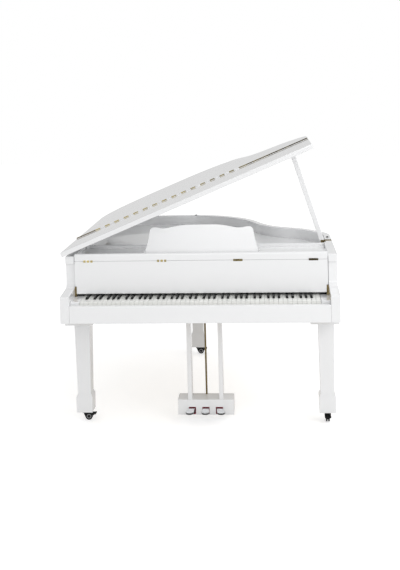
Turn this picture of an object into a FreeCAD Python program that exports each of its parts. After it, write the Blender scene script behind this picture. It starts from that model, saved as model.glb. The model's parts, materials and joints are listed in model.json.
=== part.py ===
import FreeCAD, Part
import math
import os
import re
import Sketcher

# Grand piano in white lacquer, as an assembly of separate named pieces.
# Frame: millimetres, X to the treble side, Y away from the player, Z up.
# The origin is on the floor, below the middle of the white keys' front edge.

V = FreeCAD.Vector
os.makedirs("parts", exist_ok=True)
doc = FreeCAD.newDocument("grand_piano")
sheet = doc.addObject("Spreadsheet::Sheet", "Sizes")
NAMES = []
FINAL = []

# Sizes of the object in millimetres and degrees, each named once
SIZES = {
    # Keyboard
    "key_pitch": 23.5,
    "key_gap": 1.0,
    "key_h": 20.0,
    "key_len": 300.0,
    "key_rise": 103.0,
    "key_pivot": 250.0,
    "pivot_gap": 0.05,
    "head_len": 50.0,
    "plate_over": 2.0,
    "plate_h": 2.6,
    "black_w": 10.0,
    "black_top_w": 8.4,
    "black_gap": 1.3,
    "black_h": 10.0,
    "black_slope": 4.0,
    # Case
    "case_len": 1489.0,
    "case_h": 314.0,
    "case_low": 601.0,
    "key_setback": 33.0,
    "block_w": 47.0,
    "block_gap": 1.5,
    "block_front": 3.0,
    "block_tail": 4.0,
    "arm_t": 46.0,
    "arm_len": 478.0,
    "ledge_h": 137.0,
    "ledge_rise": 14.0,
    "neck_set": 161.0,
    "cap_step": 12.0,
    "cap_h": 41.0,
    "arm_cove_r": 30.0,
    "arm_nose_r": 7.0,
    "rim_t": 36.0,
    "fit_gap": 0.4,
    "keybed_t": 25.0,
    "slip_t": 30.0,
    "slip_rise": 6.0,
    "bottom_t": 19.0,
    "inner_t": 30.0,
    "inner_set": 1.0,
    "cover_drop": 57.0,
    "cover_t": 12.0,
    "belly_t": 18.0,
    "belly_drop": 4.0,
    "shelf_drop": 20.0,
    "shelf_t": 18.0,
    "shelf_gap": 9.0,
    # Key frame and electronics
    "rail_y": 12.0,
    "rail_d": 28.0,
    "rail_h": 40.0,
    "rail_back_d": 15.0,
    "pivot_half": 18.0,
    "ridge_h": 20.0,
    "ridge_half": 0.5,
    "bar_w": 30.0,
    "bar_h": 14.0,
    "board_y": 110.0,
    "board_d": 80.0,
    "board_t": 2.0,
    "speaker_r": 90.0,
    "speaker_hole": 72.0,
    "speaker_rim": 6.0,
    "speaker_cone": 54.0,
    "magnet_r": 45.0,
    "magnet_t": 25.0,
    "speaker_a_x": 380.0,
    "speaker_a_back": 195.0,
    "speaker_b_x": -400.0,
    "speaker_b_back": 455.0,
    "main_x": -350.0,
    "main_l": 240.0,
    "main_w": 160.0,
    "main_t": 22.0,
    "power_x": 60.0,
    "power_l": 180.0,
    "power_w": 110.0,
    "power_t": 55.0,
    "box_back": 75.0,
    # Fallboard
    "fb_t": 20.0,
    "fb_set": 4.0,
    "fb_lift": 3.0,
    "fb_corner": 4.0,
    "fb_gap": 3.0,
    "fb_notch": 31.0,
    "fb_end_gap": 1.0,
    "seam_drop": 26.0,
    "seam_gap": 0.6,
    "lip_h": 39.0,
    "bracket_w": 10.0,
    "bracket_t": 14.0,
    "bracket_up": 28.0,
    "pin_r": 4.0,
    "pin_in": 12.0,
    "run_gap": 0.06,
    "small_r": 1.9,
    "small_pin": 0.9,
    "small_leaf": 0.9,
    "small_h": 5.5,
    "small_w": 48.0,
    "small_in": 72.0,
    "small_mid": 197.0,
    "small_clear": 0.4,
    "barrel_gap": 0.15,
    # Music desk
    "desk_set": 117.0,
    "desk_lift": 11.5,
    "desk_lean": 10.0,
    "desk_t": 14.0,
    "desk_below": 8.0,
    "desk_up": 142.0,
    "desk_half": 301.5,
    "desk_waist_in": 14.0,
    "desk_waist_z": 51.0,
    "desk_neck_in": 22.5,
    "desk_neck_z": 96.0,
    "desk_horn_in": 34.5,
    "desk_horn_drop": 16.0,
    "desk_crest_in": 52.5,
    "desk_crest_drop": 12.0,
    "desk_dip_in": 85.5,
    "desk_dip_drop": 17.0,
    "desk_arch_in": 169.5,
    "desk_arch_drop": 6.5,
    "desk_pin_r": 3.0,
    "desk_pin_in": 13.0,
    "desk_ear_t": 6.0,
    "desk_ear_d": 20.0,
    "desk_ear_up": 9.0,
    "desk_ear_gap": 1.5,
    # Lid, its hinges and its prop
    "lid_angle": 22.5,
    "lid_t": 24.0,
    "lid_gap": 5.0,
    "lid_over": 3.0,
    "lid_shift": 5.0,
    "lid_ahead": 36.0,
    "flap_set": 35.0,
    "flap_gap": 1.0,
    "hinge_out": 5.0,
    "hinge_up": 1.0,
    "butt_r": 3.5,
    "butt_pin": 1.75,
    "butt_leaf": 2.0,
    "butt_w": 90.0,
    "butt_h": 40.0,
    "butt_lid_w": 44.0,
    "butt_first": 90.0,
    "butt_last": 60.0,
    "butt_clear": 0.7,
    "strip_r": 3.0,
    "strip_pin": 1.5,
    "strip_leaf": 1.2,
    "strip_w": 15.0,
    "strip_lift": 0.3,
    "strip_end": 2.0,
    "strip_clear": 0.4,
    "prop_w": 26.0,
    "prop_t": 12.0,
    "prop_side": 1.0,
    "prop_drop": 15.0,
    "prop_back": 4.0,
    "prop_lean": 17.4,
    "prop_clear": 0.5,
    "ear_gap": 1.0,
    "ear_t": 3.0,
    "ear_drop": 12.0,
    "ear_in": 11.0,
    "prop_plate_t": 2.5,
    "prop_plate_w": 24.0,
    "button_r": 6.0,
    "button_h": 4.6,
    "button_set": 100.0,
    # Legs and casters
    "leg_in": 57.0,
    "leg_back": 280.0,
    "leg_rear_in": 580.0,
    "leg_rear_drop": 82.0,
    "leg_top_w": 84.0,
    "leg_low_w": 71.0,
    "leg_foot_w": 88.0,
    "leg_sole_w": 85.0,
    "foot_h": 84.0,
    "foot_flare": 18.0,
    "plate_t": 36.0,
    "plate_w": 145.0,
    "plate_ahead": 185.0,
    "plate_behind": 85.0,
    "rear_plate_w": 150.0,
    "rear_plate_rim": 5.0,
    "wheel_r": 19.0,
    "wheel_w": 7.0,
    "wheel_gap": 0.5,
    "web_t": 4.5,
    "web_half": 11.0,
    "web_set": 1.0,
    "web_drop": 13.0,
    "trail": 15.0,
    "axle_r": 4.0,
    "hood_out": 4.0,
    "hood_t": 3.0,
    "hood_skirt": 4.0,
    "hood_side": 5.5,
    "caster_rise": 14.0,
    "swivel_r": 11.0,
    "swivel_gap": 0.1,
    "swivel_lift": 2.5,
    "stem_r": 6.0,
    "stem_len": 30.0,
    "stem_room": 2.0,
    "brake_out": 25.5,
    "brake_up": 13.0,
    "brake_hub": 5.0,
    "brake_pin": 2.0,
    "brake_w": 26.0,
    "brake_len": 13.5,
    "brake_t": 5.0,
    "brake_side": 0.5,
    "lug_t": 3.0,
    "lug_in": 13.0,
    "lug_low": 4.0,
    "lug_rim": 4.0,
    "pad_in": 5.5,
    "deck_end": 19.0,
    "deck_rise": 3.0,
    "deck_t": 7.0,
    "deck_gap": 1.5,
    # Pedal lyre
    "lyre_x": 5.0,
    "lyre_set": 42.0,
    "post_w": 22.0,
    "post_d": 78.0,
    "post_x": 83.0,
    "box_w": 298.0,
    "box_d": 95.0,
    "box_low": 42.0,
    "box_h": 82.0,
    "box_wall": 14.0,
    "box_skin": 3.0,
    "slot_w": 38.0,
    "slot_h": 38.5,
    "slot_up": 4.0,
    "slot_x": 72.0,
    "felt_t": 3.0,
    "rod_back": 17.0,
    "rod_up": 40.3,
    "rod_r": 4.0,
    "rod_gap": 0.3,
    "rod_in": 7.5,
    "pedal_w": 28.0,
    "pedal_t": 10.0,
    "pedal_hub": 9.0,
    "pedal_toe": 21.0,
    "pedal_out": 40.0,
    "pedal_splay": 11.0,
    "pedal_bare": 3.0,
    "pedal_lean": 5.7,
    "tube_r": 5.0,
    "tube_back": 10.0,
}

# Set-out points of the tail and bentside: shares of the width from the bass side, and of the rim's length
SIDE_END = 0.7468
BEND_END = 0.2028
BEND_AT = {
    "bass_corner": (0.0369, 0.8952),
    "bass_tail": (0.1591, 0.9852),
    "tail": (0.3224, 1.0),
    "treble_tail": (0.4787, 0.9812),
    "treble_corner": (0.6065, 0.8843),
    "hollow_start": (0.6861, 0.7507),
    "hollow": (0.7386, 0.5984),
    "hollow_end": (0.8054, 0.4985),
    "hip_start": (0.8871, 0.4362),
    "hip": (0.9545, 0.3442),
}

# Sizes that follow from the ones above
DERIVED = {
    "keys_half": "26*key_pitch",
    "arm_in": "keys_half+block_w",
    "half_w": "arm_in+arm_t",
    "rim_in": "half_w-rim_t",
    "arm_front": "-key_setback",
    "arm_back": "arm_len-key_setback",
    "tail_y": "case_len-key_setback",
    "rim_top": "case_low+case_h",
    "arm_ledge": "case_low+ledge_h",
    "arm_ledge_back": "arm_ledge+ledge_rise",
    "arm_neck": "arm_front+neck_set",
    "arm_cap": "arm_neck-cap_step",
    "arm_cap_low": "rim_top-cap_h",
    "keybed_top": "case_low+keybed_t",
    "key_top": "case_low+key_rise",
    "key_low": "key_top-key_h",
    "slip_back": "arm_front+slip_t",
    "slip_top": "key_low+slip_rise",
    "bottom_top": "case_low+bottom_t",
    "cover_top": "rim_top-cover_drop",
    "cover_low": "cover_top-cover_t",
    "belly_front": "arm_back-belly_t",
    "belly_top": "rim_top-belly_drop",
    "shelf_top": "rim_top-shelf_drop",
    "shelf_front": "fb_front+fb_t+shelf_gap",
    "block_back": "fb_front+fb_t+block_tail",
    "side_end": f"arm_back+{SIDE_END}*(tail_y-arm_back)",
    "bend_end": f"arm_back+{BEND_END}*(tail_y-arm_back)",
    "speaker_a_y": "arm_back+speaker_a_back",
    "speaker_b_y": "arm_back+speaker_b_back",
    "main_y": "arm_back+box_back",
    "power_y": "arm_back+box_back",
    "fb_front": "arm_cap-fb_set",
    "fb_mid": "fb_front+fb_t/2",
    "fb_axis": "key_top+black_h+fb_lift+fb_t/2",
    "fb_seam": "rim_top-seam_drop",
    "fb_end": "arm_in-fb_gap",
    "bracket_in": "arm_in-bracket_w",
    "fb_low_end": "bracket_in-fb_end_gap",
    "small_out": "fb_end-small_in",
    "desk_y": "shelf_front+desk_set",
    "desk_axis": "shelf_top+desk_lift",
    "lid_front": "arm_cap-lid_ahead",
    "flap_y": "arm_back+flap_set",
    "lid_hinge_x": "-half_w-hinge_out",
    "lid_hinge_z": "rim_top+hinge_up",
    "lid_low": "lid_gap-hinge_up",
    "lid_high": "lid_low+lid_t",
    "lid_left": "hinge_out-lid_over-lid_shift",
    "lid_right": "2*half_w+hinge_out+lid_over-lid_shift",
    "butt_y_a": "flap_y+butt_first",
    "butt_pitch": "(side_end-butt_y_a-butt_last)/2",
    "butt_y_b": "butt_y_a+butt_pitch",
    "butt_y_c": "butt_y_b+butt_pitch",
    "prop_x": "rim_in-prop_w/2-prop_side",
    "prop_y": "flap_y+prop_t/2+prop_back",
    "prop_z": "rim_top-prop_drop",
    "prop_len": "lid_low+sin(lid_angle)*(prop_x-lid_hinge_x)+cos(lid_angle)*(lid_hinge_z-prop_z)-prop_clear",
    "leg_x": "half_w-leg_in",
    "leg_y": "arm_front+leg_back",
    "leg_rear_x": "leg_rear_in-half_w",
    "leg_rear_y": "tail_y-leg_rear_drop",
    "foot_low": "2*wheel_r+caster_rise",
    "foot_shoulder": "foot_low+foot_h",
    "foot_neck": "foot_shoulder+foot_flare",
    "plate_low": "case_low-plate_t",
    "plate_front": "leg_y-plate_ahead",
    "plate_back": "leg_y+plate_behind",
    "stem_top": "foot_low+stem_len",
    "stem_hole": "stem_top+stem_room",
    "hood_r": "wheel_r+hood_out",
    "hood_low": "wheel_r+hood_skirt",
    "hood_w": "web_t+2*wheel_gap+2*wheel_w+2*hood_side",
    "brake_x": "trail+brake_out",
    "brake_z": "wheel_r+brake_up",
    "deck_low": "2*wheel_r+deck_rise",
    "deck_half": "brake_w/2+brake_side+lug_t",
    "lyre_front": "leg_y-lyre_set",
    "box_high": "box_low+box_h",
    "slot_low": "box_low+slot_up",
    "slot_high": "slot_low+slot_h",
    "rod_y": "lyre_front+box_d-rod_back",
    "rod_z": "box_low+rod_up",
    "pedal_neck": "lyre_front-pedal_bare-rod_y",
    "pedal_toe_y": "lyre_front-pedal_out-rod_y",
}

row = 0
for alias, value in list(SIZES.items()) + [(name, "=" + text) for name, text in DERIVED.items()]:
    row += 1
    sheet.set(f"A{row}", alias)
    sheet.set(f"B{row}", str(value))
    sheet.setAlias(f"B{row}", alias)
    NAMES.append(alias)
doc.recompute()


def bind(text):
    """Writes a formula of size names as an expression on the sheet."""
    def on_sheet(found):
        word = found.group(0)
        return "Sizes." + word if word in NAMES else word

    return re.sub(r"[a-z][a-z_]*", on_sheet, str(text))


def num(name):
    """Value of a named size, in millimetres or degrees."""
    return float(getattr(sheet, name))


# Small builders whose sizes stay bound to the sheet
def move(obj, x="0", y="0", z="0"):
    for axis, text in zip("xyz", (x, y, z)):
        obj.setExpression(f"Placement.Base.{axis}", bind(text))
    return obj


def box(name, x, y, z):
    obj = doc.addObject("Part::Box", name)
    obj.setExpression("Length", bind(f"({x[1]})-({x[0]})"))
    obj.setExpression("Width", bind(f"({y[1]})-({y[0]})"))
    obj.setExpression("Height", bind(f"({z[1]})-({z[0]})"))
    return move(obj, x[0], y[0], z[0])


TURN = {
    "X": FreeCAD.Rotation(V(0, 1, 0), 90),
    "Y": FreeCAD.Rotation(V(1, 0, 0), -90),
    "Z": FreeCAD.Rotation(),
}


def rod(name, axis, radius, low, high, a, b):
    """Cylinder along an axis from low to high; a and b place it on the other two axes in X, Y, Z order."""
    obj = doc.addObject("Part::Cylinder", name)
    obj.setExpression("Radius", bind(radius))
    obj.setExpression("Height", bind(f"({high})-({low})"))
    obj.Placement.Rotation = TURN[axis]
    place = {"X": (low, a, b), "Y": (a, low, b), "Z": (a, b, low)}[axis]
    return move(obj, *place)


def fuse(name, shapes):
    obj = doc.addObject("Part::MultiFuse", name)
    obj.Shapes = shapes
    return obj


def cut(name, base, tools):
    obj = doc.addObject("Part::Cut", name)
    obj.Base = base
    obj.Tool = tools[0] if len(tools) == 1 else fuse(name + "_tools", tools)
    return obj


def group(name, shapes):
    obj = doc.addObject("Part::Compound", name)
    obj.Links = shapes
    return obj


def free(name, shape):
    """Piece whose outline is a free curve; its sizes are read from the sheet."""
    obj = doc.addObject("Part::Feature", name)
    obj.Shape = shape
    return obj


def keep(obj, label=None):
    obj.Label = label or obj.Name
    FINAL.append(obj)
    return obj


def turn(obj, axis, angle, x, y, z):
    """Places a piece modelled about its own axis, turned by a named angle."""
    obj.Placement = FreeCAD.Placement(V(0, 0, 0), FreeCAD.Rotation(axis, 1))
    obj.setExpression("Placement.Rotation.Angle", bind(angle))
    return move(obj, x, y, z)


def profile_body(name, points, length, rounds):
    """Pad of a side outline in Y and Z along X, with some of its edges rounded."""
    body = doc.addObject("PartDesign::Body", name)
    sketch = body.newObject("Sketcher::SketchObject", name + "_outline")
    plane = [f for f in body.Origin.OriginFeatures if f.Role == "YZ_Plane"][0]
    sketch.AttachmentSupport = (plane, [""])
    sketch.MapMode = "FlatFace"
    values = []
    for y, z in points:
        values.append(V(num(y), num(z), 0))
    count = len(points)
    for i in range(count):
        sketch.addGeometry(Part.LineSegment(values[i], values[(i + 1) % count]))
    for i in range(count):
        sketch.addConstraint(Sketcher.Constraint("Coincident", i, 2, (i + 1) % count, 1))
    for i, (y, z) in enumerate(points):
        for kind, text, value in (("DistanceX", y, values[i].x), ("DistanceY", z, values[i].y)):
            n = sketch.addConstraint(Sketcher.Constraint(kind, -1, 1, i, 1, value))
            sketch.setExpression(f"Constraints[{n}]", bind(text))
    pad = body.newObject("PartDesign::Pad", name + "_pad")
    pad.Profile = sketch
    pad.setExpression("Length", bind(length))
    doc.recompute()
    last = pad
    for k, (y, z, radius) in enumerate(rounds):
        edges = []
        for n, edge in enumerate(last.Shape.Edges, start=1):
            a, b = edge.Vertexes[0].Point, edge.Vertexes[-1].Point
            along = abs(a.y - b.y) < 0.01 and abs(a.z - b.z) < 0.01
            if along and abs(a.y - num(y)) < 0.01 and abs(a.z - num(z)) < 0.01:
                edges.append(f"Edge{n}")
        fillet = body.newObject("PartDesign::Fillet", f"{name}_round_{k}")
        fillet.Base = (last, edges)
        fillet.setExpression("Radius", bind(radius))
        doc.recompute()
        last = fillet
    return body


# Plan outline of the case: straight bass side, tail, bentside, straight treble side
def left_of(t):
    """Direction square to a tangent, on its left."""
    return V(-t.y, t.x, 0)


def arc_edge(p, t, q, offset):
    """Arc that leaves p along t and ends at q, moved sideways by an offset; also its end direction."""
    chord = q - p
    way = V(chord).normalize()
    half_turn = math.acos(max(-1.0, min(1.0, t.dot(way)))) / 2
    end_t = way * (2 * t.dot(way)) - t
    a = p + left_of(t) * offset
    b = q + left_of(end_t) * offset
    if half_turn < 1e-5:
        return Part.LineSegment(a, b).toShape(), end_t
    middle = p + V(t + way).normalize() * (chord.Length / (2 * math.cos(half_turn))) + left_of(way) * offset
    return Part.Arc(a, middle, b).toShape(), end_t


def arc_chain(points, first_t, last_t, offset=0):
    """Tangent arcs through set-out points, two arcs to a span, leaving and ending in given directions."""
    along = [0.0]
    for a, b in zip(points, points[1:]):
        along.append(along[-1] + (b - a).Length)
    guide = Part.BSplineCurve()
    guide.interpolate(Points=points, Parameters=along, InitialTangent=first_t, FinalTangent=last_t,
                      Scale=False)
    edges = []
    for i in range(len(points) - 1):
        p, q = points[i], points[i + 1]
        t, u = guide.tangent(along[i])[0], guide.tangent(along[i + 1])[0]
        v = q - p
        turn_part = 2 * (1 - t.dot(u))
        reach = v.dot(t + u)
        if turn_part < 1e-9:
            d = v.dot(v) / (2 * reach)
        else:
            d = (math.sqrt(reach * reach + turn_part * v.dot(v)) - reach) / turn_part
        joint = (p + q + (t - u) * d) * 0.5
        first, mid_t = arc_edge(p, t, joint, offset)
        second, end_t = arc_edge(joint, mid_t, q, offset)
        edges += [first, second]
    return edges


def plan_edges(offset, front, shift, z):
    """Open outline from the front of the bass side round the tail to the front of the treble side."""
    half_w = num("half_w")
    points = [V(shift - half_w, num("side_end"), z)]
    rim_len = num("tail_y") - num("arm_back")
    for across, along in BEND_AT.values():
        points.append(V(shift - half_w + 2 * half_w * across, num("arm_back") + rim_len * along, z))
    points.append(V(shift + half_w, num("bend_end"), z))
    chain = arc_chain(points, V(0, 1, 0), V(0, -1, 0), offset)
    a = points[0] + V(-offset, 0, 0)
    b = points[-1] + V(offset, 0, 0)
    left = Part.LineSegment(V(a.x, front, z), a).toShape()
    right = Part.LineSegment(b, V(b.x, front, z)).toShape()
    return [left] + chain + [right], V(a.x, front, z), V(b.x, front, z)


def panel(offset, front, low, high, shift=0):
    """Flat board that fills the plan outline behind a front line."""
    edges, a, b = plan_edges(offset, front, shift, low)
    wire = Part.Wire(Part.__sortEdges__(edges + [Part.LineSegment(b, a).toShape()]))
    return Part.Face(wire).extrude(V(0, 0, high - low))


def band(outer, inner, front, low, high):
    """Bent wall between two offsets of the plan outline."""
    first, a, b = plan_edges(outer, front, 0, low)
    second, c, d = plan_edges(inner, front, 0, low)
    ends = [Part.LineSegment(b, d).toShape(), Part.LineSegment(c, a).toShape()]
    wire = Part.Wire(Part.__sortEdges__(first + second + ends))
    return Part.Face(wire).extrude(V(0, 0, high - low))


# Case: rim, arms, boards inside
rim_t = num("rim_t")
gap = num("fit_gap")
keep(free("rim", band(0, -rim_t, num("arm_back"), num("case_low"), num("rim_top"))))

ARM = [("arm_front", "case_low"), ("arm_front", "arm_ledge"), ("arm_neck", "arm_ledge_back"),
       ("arm_neck", "arm_cap_low"), ("arm_cap", "arm_cap_low"), ("arm_cap", "rim_top"),
       ("arm_back", "rim_top"), ("arm_back", "case_low")]
ARM_ROUNDS = [("arm_neck", "arm_ledge_back", "arm_cove_r"), ("arm_front", "arm_ledge", "arm_nose_r")]
for name, x in (("arm_left", "-half_w"), ("arm_right", "arm_in")):
    keep(move(profile_body(name, ARM, "arm_t", ARM_ROUNDS), x))

keep(box("keybed", ("-arm_in", "arm_in"), ("slip_back", "arm_back"), ("case_low", "keybed_top")))
keep(box("key_slip", ("-arm_in", "arm_in"), ("arm_front", "slip_back"), ("case_low", "slip_top")))
blocks = []
for side, x in (("a", ("-arm_in", "-keys_half-block_gap")), ("b", ("keys_half+block_gap", "arm_in"))):
    blocks.append(box("key_block_" + side, x, ("block_front", "block_back"), ("keybed_top", "key_top")))
keep(group("key_blocks", blocks))

board = free("bottom_board_blank", panel(-rim_t - gap, num("arm_back"), num("case_low"), num("bottom_top")))
holes = []
for s in "ab":
    holes.append(rod("speaker_opening_" + s, "Z", "speaker_hole", "case_low-1", "bottom_top+1",
                     f"speaker_{s}_x", f"speaker_{s}_y"))
keep(cut("bottom_board", board, holes))
keep(free("inner_rim", band(-rim_t - gap, -rim_t - gap - num("inner_t"), num("arm_back") + num("inner_set"),
                            num("bottom_top"), num("cover_low"))))
keep(free("inner_cover", panel(-rim_t - gap, num("arm_back") + gap, num("cover_low"), num("cover_top"))))
keep(box("belly_rail", ("-arm_in", "arm_in"), ("belly_front", "arm_back"), ("keybed_top", "belly_top")))
keep(box("music_shelf", ("-arm_in", "arm_in"), ("shelf_front", "belly_front"),
         ("shelf_top-shelf_t", "shelf_top")))

# Electronics and loudspeakers inside the case
speakers = []
for s in "ab":
    x, y = f"speaker_{s}_x", f"speaker_{s}_y"
    ring = rod("speaker_ring_" + s, "Z", "speaker_r", "bottom_top", "bottom_top+speaker_rim", x, y)
    cone = doc.addObject("Part::Cone", "speaker_cone_" + s)
    cone.setExpression("Radius1", bind("speaker_hole"))
    cone.setExpression("Radius2", bind("magnet_r-10"))
    cone.setExpression("Height", bind("speaker_cone"))
    move(cone, x, y, "bottom_top+speaker_rim-1")
    magnet = rod("speaker_magnet_" + s, "Z", "magnet_r", "bottom_top+speaker_rim+speaker_cone-2",
                 "bottom_top+speaker_rim+speaker_cone-2+magnet_t", x, y)
    speakers.append(fuse("speaker_" + s, [ring, cone, magnet]))
keep(group("speakers", speakers))
keep(box("main_board", ("main_x", "main_x+main_l"), ("main_y", "main_y+main_w"),
         ("bottom_top", "bottom_top+main_t")))
keep(box("power_supply", ("power_x", "power_x+power_l"), ("power_y", "power_y+power_w"),
         ("bottom_top", "bottom_top+power_t")))

# Key frame: front rail, pivot rail with a ridge, back rail, cross bars
span = ("-keys_half", "keys_half")
frame_parts = [
    box("frame_front", span, ("rail_y", "rail_y+rail_d"), ("keybed_top", "keybed_top+rail_h")),
    box("frame_back", span, ("key_len-rail_back_d", "key_len"), ("keybed_top", "key_low-2*pivot_gap")),
    box("frame_pivot", span, ("key_pivot-pivot_half", "key_pivot+pivot_half"),
        ("keybed_top", "key_low-ridge_h")),
]
ridge = doc.addObject("Part::Wedge", "frame_ridge")
for prop, text in (("Xmin", "-keys_half"), ("Xmax", "keys_half"), ("X2min", "-keys_half"),
                   ("X2max", "keys_half"), ("Ymin", "0"), ("Ymax", "ridge_h+ridge_half-pivot_gap"),
                   ("Zmin", "1-pivot_half"), ("Zmax", "pivot_half-1"), ("Z2min", "-ridge_half"),
                   ("Z2max", "ridge_half")):
    ridge.setExpression(prop, bind(text))
ridge.Placement.Rotation = FreeCAD.Rotation(V(1, 0, 0), 90)
frame_parts.append(move(ridge, "0", "key_pivot", "key_low-ridge_h-ridge_half"))
for i in range(5):
    x = f"-keys_half+{i}*(2*keys_half-bar_w)/4"
    frame_parts.append(box(f"frame_bar_{i}", (x, f"{x}+bar_w"), ("rail_y", "key_len"),
                           ("keybed_top", "keybed_top+bar_h")))
keep(fuse("key_frame", frame_parts))
keep(box("key_sensor_board", span, ("board_y", "board_y+board_d"),
         ("keybed_top+bar_h", "keybed_top+bar_h+board_t")))

# Keys: 52 white and 36 black, from the lowest A to the highest C
PITCH = num("key_pitch")
KEYS_LEFT = -num("keys_half")
NOTES = "ABCDEFG"
SHARP_SHIFT = {"C": -2.6, "D": 2.6, "F": -3.4, "G": 0.0, "A": 3.4}
white_names = []
for i in range(52):
    white_names.append(NOTES[i % 7])
sharps = {}
for i in range(51):
    if white_names[i] in SHARP_SHIFT:
        sharps[i] = KEYS_LEFT + (i + 1) * PITCH + SHARP_SHIFT[white_names[i]]


def slab(points, low, high):
    """Flat piece with a plan outline of corners."""
    corners = [V(x, y, low) for x, y in points]
    return Part.Face(Part.makePolygon(corners + [corners[0]])).extrude(V(0, 0, high - low))


def white_key(i):
    """Key stick with a thin cover plate that stands out over its front, notched beside the black keys."""
    half_gap = num("key_gap") / 2
    reach = num("black_w") / 2 + num("black_gap")
    left = KEYS_LEFT + i * PITCH + half_gap
    right = KEYS_LEFT + (i + 1) * PITCH - half_gap
    head = num("head_len")
    back = num("key_len")
    right_side = [(right, back)]
    if i in sharps:
        right_side = [(right, head), (sharps[i] - reach, head), (sharps[i] - reach, back)]
    left_side = [(left, back)]
    if i - 1 in sharps:
        left_side = [(sharps[i - 1] + reach, back), (sharps[i - 1] + reach, head), (left, head)]
    seam = num("key_top") - num("plate_h")
    over = num("plate_over")
    stick = slab([(left, over), (right, over)] + right_side + left_side, num("key_low"), seam)
    plate = slab([(left, 0), (right, 0)] + right_side + left_side, seam, num("key_top"))
    return stick.fuse(plate).removeSplitter().Solids[0]


def black_key(i):
    """Key stick with a raised top that narrows upwards and slopes at the front."""
    x = sharps[i]
    y = num("head_len") + 1
    back = num("key_len")
    w = num("black_w") / 2
    v = num("black_top_w") / 2
    knee = num("key_top") + 1
    top = num("key_top") + num("black_h")
    slope = num("black_slope")
    stick = slab([(x - w, y), (x + w, y), (x + w, back), (x - w, back)], num("key_low"), knee)
    low = [V(x - w, y, knee), V(x + w, y, knee), V(x + w, back, knee), V(x - w, back, knee)]
    high = [V(x - v, y + slope, top), V(x + v, y + slope, top), V(x + v, back, top), V(x - v, back, top)]
    raised = Part.makeLoft([Part.makePolygon(low + [low[0]]), Part.makePolygon(high + [high[0]])], True, True)
    return stick.fuse(raised).removeSplitter().Solids[0]


MIDDLE_C = 23
singles = {"key_c": white_key(MIDDLE_C), "key_d": white_key(MIDDLE_C + 1), "key_c_sharp": black_key(MIDDLE_C)}
for name, shape in singles.items():
    keep(free(name, shape))
keep(free("white_keys_bass", Part.makeCompound([white_key(i) for i in range(MIDDLE_C)])))
keep(free("white_keys_treble", Part.makeCompound([white_key(i) for i in range(MIDDLE_C + 2, 52)])))
keep(free("black_keys_bass", Part.makeCompound([black_key(i) for i in sharps if i < MIDDLE_C])))
keep(free("black_keys_treble", Part.makeCompound([black_key(i) for i in sharps if i > MIDDLE_C])))

# Fallboard on two pins, with its brackets
brackets = []
for side, sign in (("a", "-1"), ("b", "1")):
    lo, hi = ("-arm_in", "-bracket_in") if sign == "-1" else ("bracket_in", "arm_in")
    block = box("bracket_block_" + side, (lo, hi), ("fb_mid-bracket_t/2", "fb_mid+bracket_t/2"),
                ("key_top", "fb_axis+bracket_up"))
    ends = ("-bracket_in-1", "-bracket_in+pin_in") if sign == "-1" else ("bracket_in-pin_in", "bracket_in+1")
    pin = rod("bracket_pin_" + side, "X", "pin_r", ends[0], ends[1], "fb_mid", "fb_axis")
    brackets.append(fuse("bracket_" + side, [block, pin]))
keep(group("fallboard_brackets", brackets))

board = fuse("fallboard_blank", [
    box("fallboard_upper", ("-fb_end", "fb_end"), ("fb_front", "fb_front+fb_t"),
        ("fb_axis+fb_notch", "fb_seam-seam_gap/2")),
    box("fallboard_lower", ("-fb_low_end", "fb_low_end"), ("fb_front", "fb_front+fb_t"),
        ("fb_axis", "fb_axis+fb_notch+1")),
    rod("fallboard_nose", "X", "fb_t/2", "-fb_low_end", "fb_low_end", "fb_mid", "fb_axis"),
    box("fallboard_front", ("-fb_low_end", "fb_low_end"), ("fb_front", "fb_mid"),
        ("fb_axis-fb_t/2+fb_corner", "fb_axis+1")),
    box("fallboard_foot", ("-fb_low_end", "fb_low_end"), ("fb_front+fb_corner", "fb_mid"),
        ("fb_axis-fb_t/2", "fb_axis")),
    rod("fallboard_corner", "X", "fb_corner", "-fb_low_end", "fb_low_end", "fb_front+fb_corner",
        "fb_axis-fb_t/2+fb_corner"),
])
bores = []
for side, ends in (("a", ("-fb_low_end-1", "-bracket_in+pin_in+1")),
                   ("b", ("bracket_in-pin_in-1", "fb_low_end+1"))):
    bores.append(rod("fallboard_bore_" + side, "X", "pin_r+run_gap", ends[0], ends[1], "fb_mid", "fb_axis"))
keep(cut("fallboard", board, bores))
lip_round = rod("lip_round", "X", "fb_t/2", "-fb_end", "fb_end", "fb_mid", "fb_seam+lip_h-fb_t/2")
lip_block = box("lip_block", ("-fb_end", "fb_end"), ("fb_front", "fb_front+fb_t"),
                ("fb_seam+seam_gap/2", "fb_seam+lip_h-fb_t/2"))
keep(fuse("fallboard_lip", [lip_block, lip_round]))

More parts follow.
